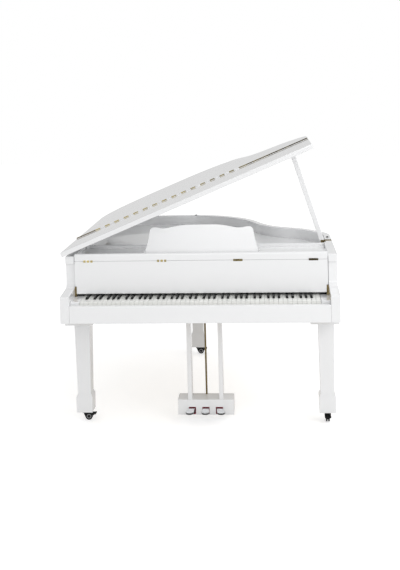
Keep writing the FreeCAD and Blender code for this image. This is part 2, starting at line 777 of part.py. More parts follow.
# Four small butt hinges between the fallboard and its lip
lower, upper = [], []
for i, x in enumerate(("-small_out", "-small_mid", "small_mid", "small_out")):
    a = f"{x}-small_w/2"
    b = f"{x}-small_w/6"
    c = f"{x}+small_w/6"
    d = f"{x}+small_w/2"
    y = "fb_front-small_r"
    leaf_y = ("fb_front-small_leaf", "fb_front")
    plate = box(f"small_plate_{i}", (a, d), leaf_y, ("fb_seam-small_h", "fb_seam-small_r-small_clear"))
    tabs = []
    for k, ends in enumerate(((a, f"{b}-barrel_gap"), (f"{c}+barrel_gap", d))):
        tabs.append(box(f"small_tab_{i}_{k}", ends, leaf_y, ("fb_seam-small_r-1", "fb_seam")))
        tabs.append(rod(f"small_barrel_{i}_{k}", "X", "small_r", ends[0], ends[1], y, "fb_seam"))
    pin = rod(f"small_pin_{i}", "X", "small_pin", a, d, y, "fb_seam")
    lower.append(fuse(f"small_lower_{i}", [plate, pin] + tabs))
    plate = box(f"small_plate_up_{i}", (a, d), leaf_y, ("fb_seam+small_r+small_clear", "fb_seam+small_h"))
    middle = (f"{b}+barrel_gap", f"{c}-barrel_gap")
    tab = box(f"small_tab_up_{i}", middle, leaf_y, ("fb_seam", "fb_seam+small_r+1"))
    barrel = rod(f"small_barrel_up_{i}", "X", "small_r", middle[0], middle[1], y, "fb_seam")
    bore = rod(f"small_bore_{i}", "X", "small_pin+run_gap", f"{b}-1", f"{c}+1", y, "fb_seam")
    upper.append(cut(f"small_upper_{i}", fuse(f"small_upper_blank_{i}", [plate, tab, barrel]), [bore]))
keep(group("fallboard_hinges", lower))
keep(group("lip_hinges", upper))

# Music desk on two pivot ears
ears = []
for side, sign in (("a", -1), ("b", 1)):
    x = ("-desk_half-desk_ear_gap-desk_ear_t", "-desk_half-desk_ear_gap")
    pin = ("-desk_half-desk_ear_gap-1", "-desk_half+desk_pin_in")
    if sign > 0:
        x = ("desk_half+desk_ear_gap", "desk_half+desk_ear_gap+desk_ear_t")
        pin = ("desk_half-desk_pin_in", "desk_half+desk_ear_gap+1")
    ears.append(fuse("desk_ear_" + side, [
        box("desk_ear_plate_" + side, x, ("desk_y-desk_ear_d/2", "desk_y+desk_ear_d/2"),
            ("shelf_top", "desk_axis+desk_ear_up")),
        rod("desk_ear_pin_" + side, "X", "desk_pin_r", pin[0], pin[1], "desk_y", "desk_axis"),
    ]))
keep(group("desk_pivots", ears))

half = num("desk_half")
top = num("desk_up")
low = -num("desk_below")
side = [V(half, low, 0), V(half - num("desk_waist_in"), num("desk_waist_z"), 0),
        V(half - num("desk_neck_in"), num("desk_neck_z"), 0),
        V(half - num("desk_horn_in"), top - num("desk_horn_drop"), 0),
        V(half - num("desk_crest_in"), top - num("desk_crest_drop"), 0),
        V(half - num("desk_dip_in"), top - num("desk_dip_drop"), 0),
        V(half - num("desk_arch_in"), top - num("desk_arch_drop"), 0), V(0, top, 0)]
right_edges = arc_chain(side, V(0, 1, 0), V(-1, 0, 0))
left_edges = [edge.mirror(V(0, 0, 0), V(1, 0, 0)) for edge in right_edges]
base_edge = Part.LineSegment(V(-half, low, 0), V(half, low, 0)).toShape()
desk_wire = Part.Wire(Part.__sortEdges__(right_edges + left_edges + [base_edge]))
desk_solid = Part.Face(desk_wire).extrude(V(0, 0, num("desk_t")))
desk_solid.translate(V(0, 0, -num("desk_t") / 2))
desk_solid.rotate(V(0, 0, 0), V(1, 0, 0), 90)
blank = free("music_desk_blank", desk_solid)
bores = []
for side, ends in (("a", ("-desk_half-1", "-desk_half+desk_pin_in+1")),
                   ("b", ("desk_half-desk_pin_in-1", "desk_half+1"))):
    bores.append(rod("desk_bore_" + side, "X", "desk_pin_r+run_gap", ends[0], ends[1], "0", "0"))
keep(turn(cut("music_desk", blank, bores), V(-1, 0, 0), "desk_lean", "0", "desk_y", "desk_axis"))

# Lid, modelled shut about its hinge line and turned open on it
LID_AXIS = V(0, -1, 0)


def on_lid(obj):
    return turn(obj, LID_AXIS, "lid_angle", "lid_hinge_x", "0", "lid_hinge_z")


main = panel(num("lid_over"), num("flap_y") + num("flap_gap") / 2, num("lid_low"), num("lid_high"),
             -num("lid_hinge_x") - num("lid_shift"))
keep(on_lid(free("lid_main", main)))
flap = box("lid_flap_board", ("lid_left", "lid_right"), ("lid_front", "flap_y-flap_gap/2"),
           ("lid_low", "lid_high"))
keep(on_lid(group("lid_flap", [flap])))

# Three butt hinges on the bass side: one leaf on the case, one under the lid
case_leaves, lid_leaves = [], []
for s in "abc":
    y = f"butt_y_{s}"
    a = f"{y}-butt_w/2"
    b = f"{y}-butt_w/6"
    c = f"{y}+butt_w/6"
    d = f"{y}+butt_w/2"
    leaf_x = ("-half_w-butt_leaf", "-half_w")
    parts = [
        box(f"butt_plate_{s}", leaf_x, (a, d), ("rim_top-butt_h", "lid_hinge_z-butt_r-butt_clear")),
        rod(f"butt_pin_{s}", "Y", "butt_pin", a, d, "lid_hinge_x", "lid_hinge_z"),
    ]
    for k, ends in enumerate(((a, f"{b}-barrel_gap"), (f"{c}+barrel_gap", d))):
        parts.append(box(f"butt_tab_{s}_{k}", leaf_x, ends,
                         ("lid_hinge_z-butt_r-butt_clear-1", "lid_hinge_z")))
        parts.append(rod(f"butt_barrel_{s}_{k}", "Y", "butt_r", ends[0], ends[1],
                         "lid_hinge_x", "lid_hinge_z"))
    case_leaves.append(fuse("butt_case_" + s, parts))
    leaf_z = ("lid_low-butt_leaf", "lid_low")
    plate = box(f"butt_lid_plate_{s}", ("butt_r+butt_clear", "butt_lid_w"), (a, d), leaf_z)
    middle = (f"{b}+barrel_gap", f"{c}-barrel_gap")
    tab = box(f"butt_lid_tab_{s}", ("0", "butt_r+butt_clear+1"), middle, leaf_z)
    barrel = rod(f"butt_lid_barrel_{s}", "Y", "butt_r", middle[0], middle[1], "0", "0")
    bore = rod(f"butt_lid_bore_{s}", "Y", "butt_pin+run_gap", f"{b}-1", f"{c}+1", "0", "0")
    lid_leaves.append(cut("butt_lid_" + s, fuse("butt_lid_blank_" + s, [plate, tab, barrel]), [bore]))
keep(group("lid_hinges_case", case_leaves))
keep(on_lid(group("lid_hinges_lid", lid_leaves)))

# Strip hinge along the flap, with interleaved barrels
x0 = "lid_left+strip_end"
x1 = "lid_right-strip_end"
axis_z = "lid_high+strip_r+strip_lift"
leaf_z = ("lid_high", "lid_high+strip_leaf")
SEGMENTS = 9
rear = [box("strip_rear_plate", (x0, x1), ("flap_y+strip_r+strip_clear", "flap_y+strip_w"), leaf_z),
        rod("strip_pin", "X", "strip_pin", x0, x1, "flap_y", axis_z)]
front = [box("strip_front_plate", (x0, x1), ("flap_y-strip_w", "flap_y-strip_r-strip_clear"), leaf_z)]
for i in range(SEGMENTS):
    a = f"{x0}+{i}*(({x1})-({x0}))/{SEGMENTS}+barrel_gap"
    b = f"{x0}+{i + 1}*(({x1})-({x0}))/{SEGMENTS}-barrel_gap"
    barrel = rod(f"strip_barrel_{i}", "X", "strip_r", a, b, "flap_y", axis_z)
    if i % 2 == 0:
        rear += [barrel, box(f"strip_tab_{i}", (a, b), ("flap_y", "flap_y+strip_r+1"), leaf_z)]
    else:
        tab = box(f"strip_tab_{i}", (a, b), ("flap_y-strip_r-1", "flap_y"), leaf_z)
        front += [barrel, tab]
bore = rod("strip_bore", "X", "strip_pin+run_gap", f"{x0}-1", f"{x1}+1", "flap_y", axis_z)
keep(on_lid(fuse("flap_hinge_rear", rear)))
keep(on_lid(cut("flap_hinge_front", fuse("flap_hinge_front_blank", front), [bore])))

# Lid prop on its bracket
stick = cut("lid_prop", fuse("lid_prop_blank", [
    box("prop_stick", ("-prop_w/2", "prop_w/2"), ("-prop_t/2", "prop_t/2"), ("0", "prop_len-prop_w/2")),
    rod("prop_foot", "Y", "prop_w/2", "-prop_t/2", "prop_t/2", "0", "0"),
    rod("prop_tip", "Y", "prop_w/2", "-prop_t/2", "prop_t/2", "0", "prop_len-prop_w/2"),
]), [rod("prop_bore", "Y", "pin_r+run_gap", "-prop_t", "prop_t", "0", "0")])
keep(turn(stick, LID_AXIS, "prop_lean", "prop_x", "prop_y", "prop_z"))
plate_z = ("rim_top", "rim_top+prop_plate_t")
parts = [box("prop_flange", ("half_w-prop_plate_w", "half_w-prop_plate_t"),
             ("prop_y-prop_t/2-ear_gap-ear_t", "prop_y+prop_t/2+ear_gap+ear_t"), plate_z),
         rod("prop_pin", "Y", "pin_r", "prop_y-prop_t/2-ear_gap-ear_t", "prop_y+prop_t/2+ear_gap+ear_t",
             "prop_x", "prop_z")]
for k, y in enumerate((("prop_y-prop_t/2-ear_gap-ear_t", "prop_y-prop_t/2-ear_gap"),
                       ("prop_y+prop_t/2+ear_gap", "prop_y+prop_t/2+ear_gap+ear_t"))):
    parts.append(box(f"prop_ear_{k}", ("prop_x-ear_in", "rim_in"), y,
                     ("prop_z-ear_drop", "rim_top+prop_plate_t")))
    parts.append(box(f"prop_arm_{k}", ("rim_in-1", "half_w-prop_plate_w+1"), y, plate_z))
keep(fuse("prop_bracket", parts))

# Rubber buttons that the shut lid rests on
buttons = []
spots = [("-half_w+rim_t/2", "butt_y_a+butt_pitch/2"), ("-half_w+rim_t/2", "butt_y_b+butt_pitch/2"),
         ("half_w-rim_t/2", "flap_y+button_set"), ("-half_w+leg_rear_in", "tail_y-rim_t/2-button_r")]
for i, (x, y) in enumerate(spots):
    buttons.append(rod(f"button_{i}", "Z", "button_r", "rim_top", "rim_top+button_h", x, y))
keep(group("lid_buttons", buttons))


# Legs: tapered square shaft, spade foot, socket for the caster stem
def taper(name, w0, w1, z0, z1):
    obj = doc.addObject("Part::Wedge", name)
    for prop, text in (("Xmin", f"-{w0}/2"), ("Xmax", f"{w0}/2"), ("X2min", f"-{w1}/2"), ("X2max", f"{w1}/2"),
                       ("Ymin", "0"), ("Ymax", f"({z1})-({z0})"), ("Zmin", f"-{w0}/2"), ("Zmax", f"{w0}/2"),
                       ("Z2min", f"-{w1}/2"), ("Z2max", f"{w1}/2")):
        obj.setExpression(prop, bind(text))
    obj.Placement.Rotation = FreeCAD.Rotation(V(1, 0, 0), 90)
    return move(obj, "0", "0", z0)


LEGS = (("leg_front_left", "-leg_x", "leg_y"), ("leg_front_right", "leg_x", "leg_y"),
        ("leg_rear", "leg_rear_x", "leg_rear_y"))
for name, x, y in LEGS:
    whole = fuse(name + "_blank", [
        taper(name + "_shaft", "leg_low_w", "leg_top_w", "foot_neck", "plate_low"),
        taper(name + "_neck", "leg_foot_w", "leg_low_w", "foot_shoulder", "foot_neck"),
        taper(name + "_foot", "leg_sole_w", "leg_foot_w", "foot_low", "foot_shoulder"),
    ])
    socket = rod(name + "_socket", "Z", "stem_r+run_gap", "foot_low-1", "stem_hole", "0", "0")
    keep(move(cut(name, whole, [socket]), x, y))

plate_z = ("plate_low", "case_low")
keep(group("leg_plates", [
    box("leg_plate_left", ("-half_w", "-half_w+plate_w"), ("plate_front", "plate_back"), plate_z),
    box("leg_plate_right", ("half_w-plate_w", "half_w"), ("plate_front", "plate_back"), plate_z),
    box("leg_plate_rear", ("leg_rear_x-rear_plate_w/2", "leg_rear_x+rear_plate_w/2"),
        ("leg_rear_y-rear_plate_w/2", "leg_rear_y+leg_top_w/2+rear_plate_rim"), plate_z),
]))


# Casters: fork with hood and deck, wheel pair on an axle, brake lever
def web_plate():
    """Plate between the two wheels, which narrows from the deck down to the axle."""
    axle_x, axle_z = num("trail"), num("wheel_r")
    half = num("web_half")
    top = num("deck_low") + 1
    outline = [(-num("deck_end"), top), (axle_x - axle_z + num("web_set"), axle_z - num("web_drop")),
               (axle_x, axle_z - half), (axle_x + half, axle_z), (axle_x + half, top)]
    corners = [V(x, -num("web_t") / 2, z) for x, z in outline]
    return Part.Face(Part.makePolygon(corners + [corners[0]])).extrude(V(0, num("web_t"), 0))


def caster(tag, x, y, heading):
    hood = rod(f"hood_{tag}", "Y", "hood_r", "-hood_w/2", "hood_w/2", "trail", "wheel_r")
    below = box(f"hood_below_{tag}", ("trail-2*hood_r", "trail+2*hood_r"), ("-hood_w", "hood_w"),
                ("-hood_r", "hood_low"))
    pockets = []
    for k, ends in enumerate((("-hood_w/2-1", "-web_t/2"), ("web_t/2", "hood_w/2+1"))):
        pockets.append(rod(f"hood_pocket_{tag}_{k}", "Y", "hood_r-hood_t", ends[0], ends[1],
                           "trail", "wheel_r"))
    shell = cut(f"hood_shell_{tag}", hood, [below] + pockets)
    web = free(f"web_{tag}", web_plate())
    deck = box(f"deck_{tag}", ("-deck_end", "brake_x-brake_hub-deck_gap"), ("-deck_half", "deck_half"),
               ("deck_low", "deck_low+deck_t"))
    swivel = rod(f"swivel_{tag}", "Z", "swivel_r", "2*wheel_r+swivel_lift", "foot_low-swivel_gap", "0", "0")
    stem = rod(f"stem_{tag}", "Z", "stem_r", "foot_low-swivel_lift", "stem_top", "0", "0")
    lugs = []
    for k, ends in enumerate((("-brake_w/2-brake_side-lug_t", "-brake_w/2-brake_side"),
                                ("brake_w/2+brake_side", "brake_w/2+brake_side+lug_t"))):
        lugs.append(box(f"lug_{tag}_{k}", ("brake_x-lug_in", "brake_x+lug_rim"), ends,
                        ("brake_z-lug_low", "brake_z+lug_rim")))
    pin = rod(f"brake_pin_{tag}", "Y", "brake_pin", "-brake_w/2-brake_side-lug_t",
              "brake_w/2+brake_side+lug_t", "brake_x", "brake_z")
    clear = []
    for k, ends in enumerate((("-hood_w/2-1", "-web_t/2"), ("web_t/2", "hood_w/2+1"))):
        clear.append(rod(f"wheel_room_{tag}_{k}", "Y", "hood_r-hood_t", ends[0], ends[1], "trail", "wheel_r"))
    axle_hole = rod(f"axle_hole_{tag}", "Y", "axle_r+run_gap", "-web_t", "web_t", "trail", "wheel_r")
    fork = cut(f"caster_fork_{tag}", fuse(f"fork_blank_{tag}", [shell, web, deck, swivel, stem, pin] + lugs),
               clear + [axle_hole])
    wheels = fuse(f"caster_wheels_{tag}", [
        rod(f"wheel_a_{tag}", "Y", "wheel_r", "web_t/2+wheel_gap", "web_t/2+wheel_gap+wheel_w",
            "trail", "wheel_r"),
        rod(f"wheel_b_{tag}", "Y", "wheel_r", "-web_t/2-wheel_gap-wheel_w", "-web_t/2-wheel_gap",
            "trail", "wheel_r"),
        rod(f"axle_{tag}", "Y", "axle_r", "-web_t/2-wheel_gap-1", "web_t/2+wheel_gap+1", "trail", "wheel_r"),
    ])
    lever_blank = fuse(f"lever_blank_{tag}", [
        rod(f"lever_hub_{tag}", "Y", "brake_hub", "-brake_w/2", "brake_w/2", "brake_x", "brake_z"),
        box(f"lever_arm_{tag}", ("brake_x", "brake_x+brake_len"), ("-brake_w/2", "brake_w/2"),
            ("brake_z", "brake_z+brake_t")),
        box(f"lever_pad_{tag}", ("brake_x+pad_in", "brake_x+brake_len"), ("-deck_half", "deck_half"),
            ("brake_z", "brake_z+brake_t")),
    ])
    lever_bore = rod(f"lever_bore_{tag}", "Y", "brake_pin+run_gap", "-brake_w", "brake_w",
                     "brake_x", "brake_z")
    lever = cut(f"caster_brake_{tag}", lever_blank, [lever_bore])
    for obj in (fork, wheels, lever):
        obj.Placement.Rotation = FreeCAD.Rotation(V(0, 0, 1), heading)
        keep(move(obj, x, y))


caster("left", "-leg_x", "leg_y", 0)
caster("right", "leg_x", "leg_y", -90)
caster("rear", "leg_rear_x", "leg_rear_y", 0)

# Pedal lyre
posts = []
for side, sign in (("a", "-"), ("b", "+")):
    x = f"lyre_x{sign}post_x"
    posts.append(box("lyre_post_" + side, (f"{x}-post_w/2", f"{x}+post_w/2"),
                     ("lyre_front", "lyre_front+post_d"), ("box_high", "case_low")))
keep(group("lyre_posts", posts))
outer = box("pedal_box_outer", ("lyre_x-box_w/2", "lyre_x+box_w/2"), ("lyre_front", "lyre_front+box_d"),
            ("box_low", "box_high"))
hollow = [box("pedal_box_room", ("lyre_x-box_w/2+box_wall", "lyre_x+box_w/2-box_wall"),
              ("lyre_front+box_wall", "lyre_front+box_d-box_skin"), ("slot_low-1", "box_high-box_wall"))]
felts, pedals = [], []


def pedal_flare(place):
    """Part of a pedal that widens from its lever to its toe; the outer two lean away from the middle one."""
    x = num("lyre_x") + place * num("slot_x")
    toe_x = x + place * num("pedal_splay")
    near = num("pedal_neck") + 1
    w = num("pedal_w") / 2
    toe = num("pedal_toe")
    toe_y = num("pedal_toe_y")
    half_t = num("pedal_t") / 2
    return slab([(x - w, near), (toe_x - toe, toe_y), (toe_x + toe, toe_y), (x + w, near)], -half_t, half_t)


for i, name in enumerate(("pedal_left", "pedal_middle", "pedal_right")):
    x = f"lyre_x+{i - 1}*slot_x"
    wide = (f"{x}-slot_w/2", f"{x}+slot_w/2")
    hollow.append(box(f"pedal_slot_{i}", wide, ("lyre_front-1", "lyre_front+box_wall+1"),
                      ("slot_low", "slot_high")))
    felt = box(f"felt_outer_{i}", wide, ("lyre_front", "lyre_front+box_wall"), ("slot_low", "slot_high"))
    inside = box(f"felt_inner_{i}", (f"{x}-slot_w/2+felt_t", f"{x}+slot_w/2-felt_t"),
                 ("lyre_front-1", "lyre_front+box_wall+1"), ("slot_low+felt_t", "slot_high-felt_t"))
    felts.append(cut(f"pedal_felt_{i}", felt, [inside]))
    toe_x = f"{x}+{i - 1}*pedal_splay"
    blank = fuse(name + "_blank", [
        box(name + "_lever", (f"{x}-pedal_w/2", f"{x}+pedal_w/2"), ("pedal_neck", "0"),
            ("-pedal_t/2", "pedal_t/2")),
        free(name + "_flare", pedal_flare(i - 1)),
        rod(name + "_toe", "Z", "pedal_toe", "-pedal_t/2", "pedal_t/2", toe_x, "pedal_toe_y"),
        rod(name + "_hub", "X", "pedal_hub", f"{x}-pedal_w/2", f"{x}+pedal_w/2", "0", "0"),
    ])
    bore = rod(name + "_bore", "X", "rod_r+run_gap", f"{x}-pedal_w", f"{x}+pedal_w", "0", "0")
    pedals.append(turn(cut(name, blank, [bore]), V(1, 0, 0), "pedal_lean", "0", "rod_y", "rod_z"))
hollow.append(rod("pedal_rod_holes", "X", "rod_r+rod_gap", "lyre_x-box_w/2+box_wall-rod_in-rod_gap",
                  "lyre_x+box_w/2-box_wall+rod_in+rod_gap", "rod_y", "rod_z"))
keep(cut("pedal_box", outer, hollow))
keep(group("pedal_felts", felts))
keep(rod("pedal_rod", "X", "rod_r", "lyre_x-box_w/2+box_wall-rod_in", "lyre_x+box_w/2-box_wall+rod_in",
         "rod_y", "rod_z"))
for obj in pedals:
    keep(obj)
keep(rod("pedal_tube", "Z", "tube_r", "box_high", "case_low", "lyre_x", "lyre_front+box_d-tube_back"))

# Recompute, test every object, then write one file per piece
doc.recompute()
bad = []
for obj in doc.Objects:
    if any(word in obj.State for word in ("Invalid", "Error")):
        bad.append(obj.Label)
for obj in FINAL:
    if obj.Shape.isNull() or not obj.Shape.isValid() or not obj.Shape.Solids:
        bad.append(obj.Label)
if bad:
    raise SystemExit("not valid: " + ", ".join(bad))
for old in os.listdir("parts"):
    os.remove(os.path.join("parts", old))
for obj in FINAL:
    obj.Shape.exportStep(f"parts/{obj.Label}.step")
print(len(FINAL), "pieces written")
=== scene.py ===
# %% [markdown]
# # A white baby grand piano, dressed for its portrait
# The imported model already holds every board, key, hinge and wheel at its true size. This lesson
# loads it as a fixed frame and gives it what a workshop adds last: eased edges, screws, fine hinge
# knuckles and the finishes. Nothing is moved, so every piece stays where the construction put it.

import json
import math

import bpy
from mathutils import Matrix, Vector

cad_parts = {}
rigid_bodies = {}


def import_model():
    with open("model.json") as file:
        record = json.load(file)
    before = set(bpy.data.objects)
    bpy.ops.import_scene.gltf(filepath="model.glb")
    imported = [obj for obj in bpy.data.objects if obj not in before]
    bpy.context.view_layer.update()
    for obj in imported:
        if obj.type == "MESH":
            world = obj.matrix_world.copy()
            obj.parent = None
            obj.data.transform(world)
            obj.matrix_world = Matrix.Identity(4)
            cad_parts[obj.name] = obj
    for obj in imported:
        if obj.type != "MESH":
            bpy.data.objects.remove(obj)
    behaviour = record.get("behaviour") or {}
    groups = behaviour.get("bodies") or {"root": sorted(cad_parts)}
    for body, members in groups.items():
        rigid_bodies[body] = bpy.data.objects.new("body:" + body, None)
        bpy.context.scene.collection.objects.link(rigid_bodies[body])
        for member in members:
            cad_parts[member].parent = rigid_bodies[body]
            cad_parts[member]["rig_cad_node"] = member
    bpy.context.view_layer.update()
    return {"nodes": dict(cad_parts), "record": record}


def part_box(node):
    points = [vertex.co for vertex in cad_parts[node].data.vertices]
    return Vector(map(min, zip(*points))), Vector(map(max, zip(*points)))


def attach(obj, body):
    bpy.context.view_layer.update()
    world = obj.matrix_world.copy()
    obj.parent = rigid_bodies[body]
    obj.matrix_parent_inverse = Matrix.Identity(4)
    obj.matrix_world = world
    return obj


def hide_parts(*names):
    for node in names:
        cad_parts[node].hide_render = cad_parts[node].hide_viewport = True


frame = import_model()
nodes = frame["nodes"]
body_of_node = {}
for body, members in frame["record"]["behaviour"]["bodies"].items():
    for member in members:
        body_of_node[member] = body

# %% [markdown]
# ## The camera
# The photograph is taken from just right of the middle, a little above the music desk. The height
# of the horizon and the meeting point of the case's long edges give the camera's turn and tilt, and
# the keyboard's known width gives its distance. A turn, a tilt and a slight lean make its three axes.

# %% Work out which way the camera looks
EYE = Vector((0.3632, -4.3003, 1.8174))
YAW = math.radians(4.3)
PITCH = math.radians(2.8)
ROLL = math.radians(1.5)

forward = Vector((-math.sin(YAW) * math.cos(PITCH), math.cos(YAW) * math.cos(PITCH), -math.sin(PITCH)))
level = Vector((math.cos(YAW), math.sin(YAW), 0))
upright = level.cross(forward)
across = level * math.cos(ROLL) - upright * math.sin(ROLL)
upward = level * math.sin(ROLL) + upright * math.cos(ROLL)
print("camera looks along", [round(v, 3) for v in forward])

# %% [markdown]
# The horizon lies high in the picture, so the view is shifted down instead of tilted further, which
# keeps the legs upright. The lens and the shift are both shares of the picture's longer side.

# %% Place the camera
PICTURE = (400, 570)
FOCAL_PIXELS = 866.8
CENTRE_PIXEL = (202.1, 122.3)
SENSOR_WIDTH = 36

camera_data = bpy.data.cameras.new("portrait_camera")
camera_data.sensor_width = SENSOR_WIDTH
camera_data.lens = FOCAL_PIXELS * SENSOR_WIDTH / PICTURE[1]
camera_data.shift_x = (PICTURE[0] / 2 - CENTRE_PIXEL[0]) / PICTURE[1]
camera_data.shift_y = (CENTRE_PIXEL[1] - PICTURE[1] / 2) / PICTURE[1]
camera = bpy.data.objects.new("portrait_camera", camera_data)
turn = Matrix((across, upward, -forward)).transposed()
camera.matrix_world = Matrix.Translation(EYE) @ turn.to_4x4()
bpy.context.scene.collection.objects.link(camera)
bpy.context.scene.camera = camera
print("lens", round(camera_data.lens, 2), "shift down", round(camera_data.shift_y, 4))

# %% [markdown]
# ## One group for the life in a surface
# No real finish is one flat colour. Lacquer has faint clouds and a ripple, brass tarnishes in
# patches, plastic has a fine grain. All of these are two noises, a broad one for tone and gloss and a
# fine one for height. They could be laid anew in each material, but a node group is built once and
# each finish then only sets its numbers.

# %% Start the group with its sockets
def add_sockets(group, labels, direction):
    for label, kind in labels:
        group.interface.new_socket(label, in_out=direction, socket_type="NodeSocket" + kind)


surface = bpy.data.node_groups.new("surface_life", "ShaderNodeTree")
add_sockets(surface, [("Tone A", "Color"), ("Tone B", "Color"), ("Patch Scale", "Float"),
                      ("Grain Scale", "Float"), ("Gloss Low", "Float"), ("Gloss High", "Float"),
                      ("Stretch", "Vector"), ("Painted Reflection Drift", "Vector"), ("Painted Underside Reflection", "Float")], "INPUT")
add_sockets(surface, [("Tone", "Color"), ("Roughness", "Float"), ("Height", "Float")], "OUTPUT")
group_in = surface.nodes.new("NodeGroupInput")
group_out = surface.nodes.new("NodeGroupOutput")
join = surface.links.new
print("surface group sockets:", len(surface.interface.items_tree))

# %% [markdown]
# The noises are read at the piece's own coordinates, so the finish stays on a piece that moves. A
# stretch turns round grain into brushing or wood figure.

# %% Add the two noises
place = surface.nodes.new("ShaderNodeTexCoord")
stretch = surface.nodes.new("ShaderNodeVectorMath")
stretch.operation = "MULTIPLY"
join(place.outputs["Object"], stretch.inputs[0])
join(group_in.outputs["Stretch"], stretch.inputs[1])
patches = surface.nodes.new("ShaderNodeTexNoise")
patches.inputs["Detail"].default_value = 3
join(stretch.outputs["Vector"], patches.inputs["Vector"])
join(group_in.outputs["Patch Scale"], patches.inputs["Scale"])
grain = surface.nodes.new("ShaderNodeTexNoise")
grain.inputs["Detail"].default_value = 2
join(stretch.outputs["Vector"], grain.inputs["Vector"])
join(group_in.outputs["Grain Scale"], grain.inputs["Scale"])
join(grain.outputs["Fac"], group_out.inputs["Height"])
print("noises:", [node.name for node in surface.nodes if node.type == "TEX_NOISE"])

# %% [markdown]
# A drift makes the second tone win towards one side: on the brass, a painted reflection, darker at the
# treble.
# The gloss follows the same patches. It eases in and out at its ends, so that no border between two
# glosses shows in a reflection.

# %% Mix the two tones and the gloss
# painted reflection: the drift along the case darkens one side of the tone
drift = surface.nodes.new("ShaderNodeVectorMath")
drift.operation = "DOT_PRODUCT"
join(place.outputs["Object"], drift.inputs[0])
join(group_in.outputs["Painted Reflection Drift"], drift.inputs[1])
patches_and_painted_drift = surface.nodes.new("ShaderNodeMath")
patches_and_painted_drift.operation = "ADD"
patches_and_painted_drift.use_clamp = True
join(patches.outputs["Fac"], patches_and_painted_drift.inputs[0])
join(drift.outputs["Value"], patches_and_painted_drift.inputs[1])
tone = surface.nodes.new("ShaderNodeMix")
tone.data_type = "RGBA"
join(patches_and_painted_drift.outputs["Value"], tone.inputs["Factor"])
join(group_in.outputs["Tone A"], tone.inputs["A"])
join(group_in.outputs["Tone B"], tone.inputs["B"])
gloss = surface.nodes.new("ShaderNodeMapRange")
gloss.interpolation_type = "SMOOTHSTEP"
gloss.inputs["From Min"].default_value = 0.15
gloss.inputs["From Max"].default_value = 0.85
join(patches.outputs["Fac"], gloss.inputs["Value"])
join(group_in.outputs["Gloss Low"], gloss.inputs["To Min"])
join(group_in.outputs["Gloss High"], gloss.inputs["To Max"])
join(gloss.outputs["Result"], group_out.inputs["Roughness"])
print("tone and gloss joined, links so far:", len(surface.links))

# %% [markdown]
# The chrome faces that look down are painted dark, a painted reflection of a dark floor. An underside
# weight sets this painted reflection: it scales the tone by how far the face looks up.

# %% Paint a dark reflection on faces that look down
height_of = surface.nodes.new("ShaderNodeSeparateXYZ")
join(place.outputs["Normal"], height_of.inputs["Vector"])
# painted reflection: the tone is scaled down on faces that look down
painted_reflection_by_facing = surface.nodes.new("ShaderNodeMapRange")
painted_reflection_by_facing.inputs["From Min"].default_value = -0.1
painted_reflection_by_facing.inputs["From Max"].default_value = 0.75
painted_reflection_by_facing.inputs["To Min"].default_value = 0.1
join(height_of.outputs["Z"], painted_reflection_by_facing.inputs["Value"])
painted_underside_reflection_mix = surface.nodes.new("ShaderNodeMix")
painted_underside_reflection_mix.inputs["A"].default_value = 1.0
join(group_in.outputs["Painted Underside Reflection"], painted_underside_reflection_mix.inputs["Factor"])
join(painted_reflection_by_facing.outputs["Result"], painted_underside_reflection_mix.inputs["B"])
shade = surface.nodes.new("ShaderNodeVectorMath")
shade.operation = "SCALE"
join(tone.outputs["Result"], shade.inputs[0])
join(painted_underside_reflection_mix.outputs["Result"], shade.inputs["Scale"])
join(shade.outputs["Vector"], group_out.inputs["Tone"])
print("surface group:", len(surface.nodes), "nodes")

# %% [markdown]
# ## The finishes
# Each finish is a Principled shader fed by the group, with its own two tones, patch size, grain and
# gloss. Constant things, such as how metallic it is or its clear coat, are set on the shader itself.

# %% A maker for finishes
finishes = {}


def make_finish(name, tones, patch, grain_scale, gloss_range, bump, metallic=0.0, coat=0.0,
                stretched=(1, 1, 1), painted_reflection_drift=(0, 0, 0), painted_underside_reflection=0.0, specular=0.5):
    material = bpy.data.materials.new(name)
    material.use_nodes = True
    tree = material.node_tree
    shader = tree.nodes["Principled BSDF"]
    life = tree.nodes.new("ShaderNodeGroup")
    life.node_tree = surface
    life.inputs["Tone A"].default_value = (*tones[0], 1)
    life.inputs["Tone B"].default_value = (*tones[1], 1)
    life.inputs["Patch Scale"].default_value = patch
    life.inputs["Grain Scale"].default_value = grain_scale
    life.inputs["Gloss Low"].default_value = gloss_range[0]
    life.inputs["Gloss High"].default_value = gloss_range[1]
    life.inputs["Stretch"].default_value = stretched
    life.inputs["Painted Reflection Drift"].default_value = painted_reflection_drift
    life.inputs["Painted Underside Reflection"].default_value = painted_underside_reflection
    relief = tree.nodes.new("ShaderNodeBump")
    relief.inputs["Strength"].default_value = bump[0]
    relief.inputs["Distance"].default_value = bump[1]
    tree.links.new(life.outputs["Tone"], shader.inputs["Base Color"])
    tree.links.new(life.outputs["Roughness"], shader.inputs["Roughness"])
    tree.links.new(life.outputs["Height"], relief.inputs["Height"])
    tree.links.new(relief.outputs["Normal"], shader.inputs["Normal"])
    shader.inputs["Metallic"].default_value = metallic
    shader.inputs["Specular IOR Level"].default_value = specular
    shader.inputs["Coat Weight"].default_value = coat
    shader.inputs["Coat Roughness"].default_value = 0.03
    finishes[name] = material


print("finish maker ready")

# %% [markdown]
# The case is sprayed white and polished: two very close whites under a thin clear coat, with a ripple
# far too shallow to see except in a reflection. The white keys are a warmer moulded plastic, and the
# black ones are nearly matt, with a grain like that of real sharps.

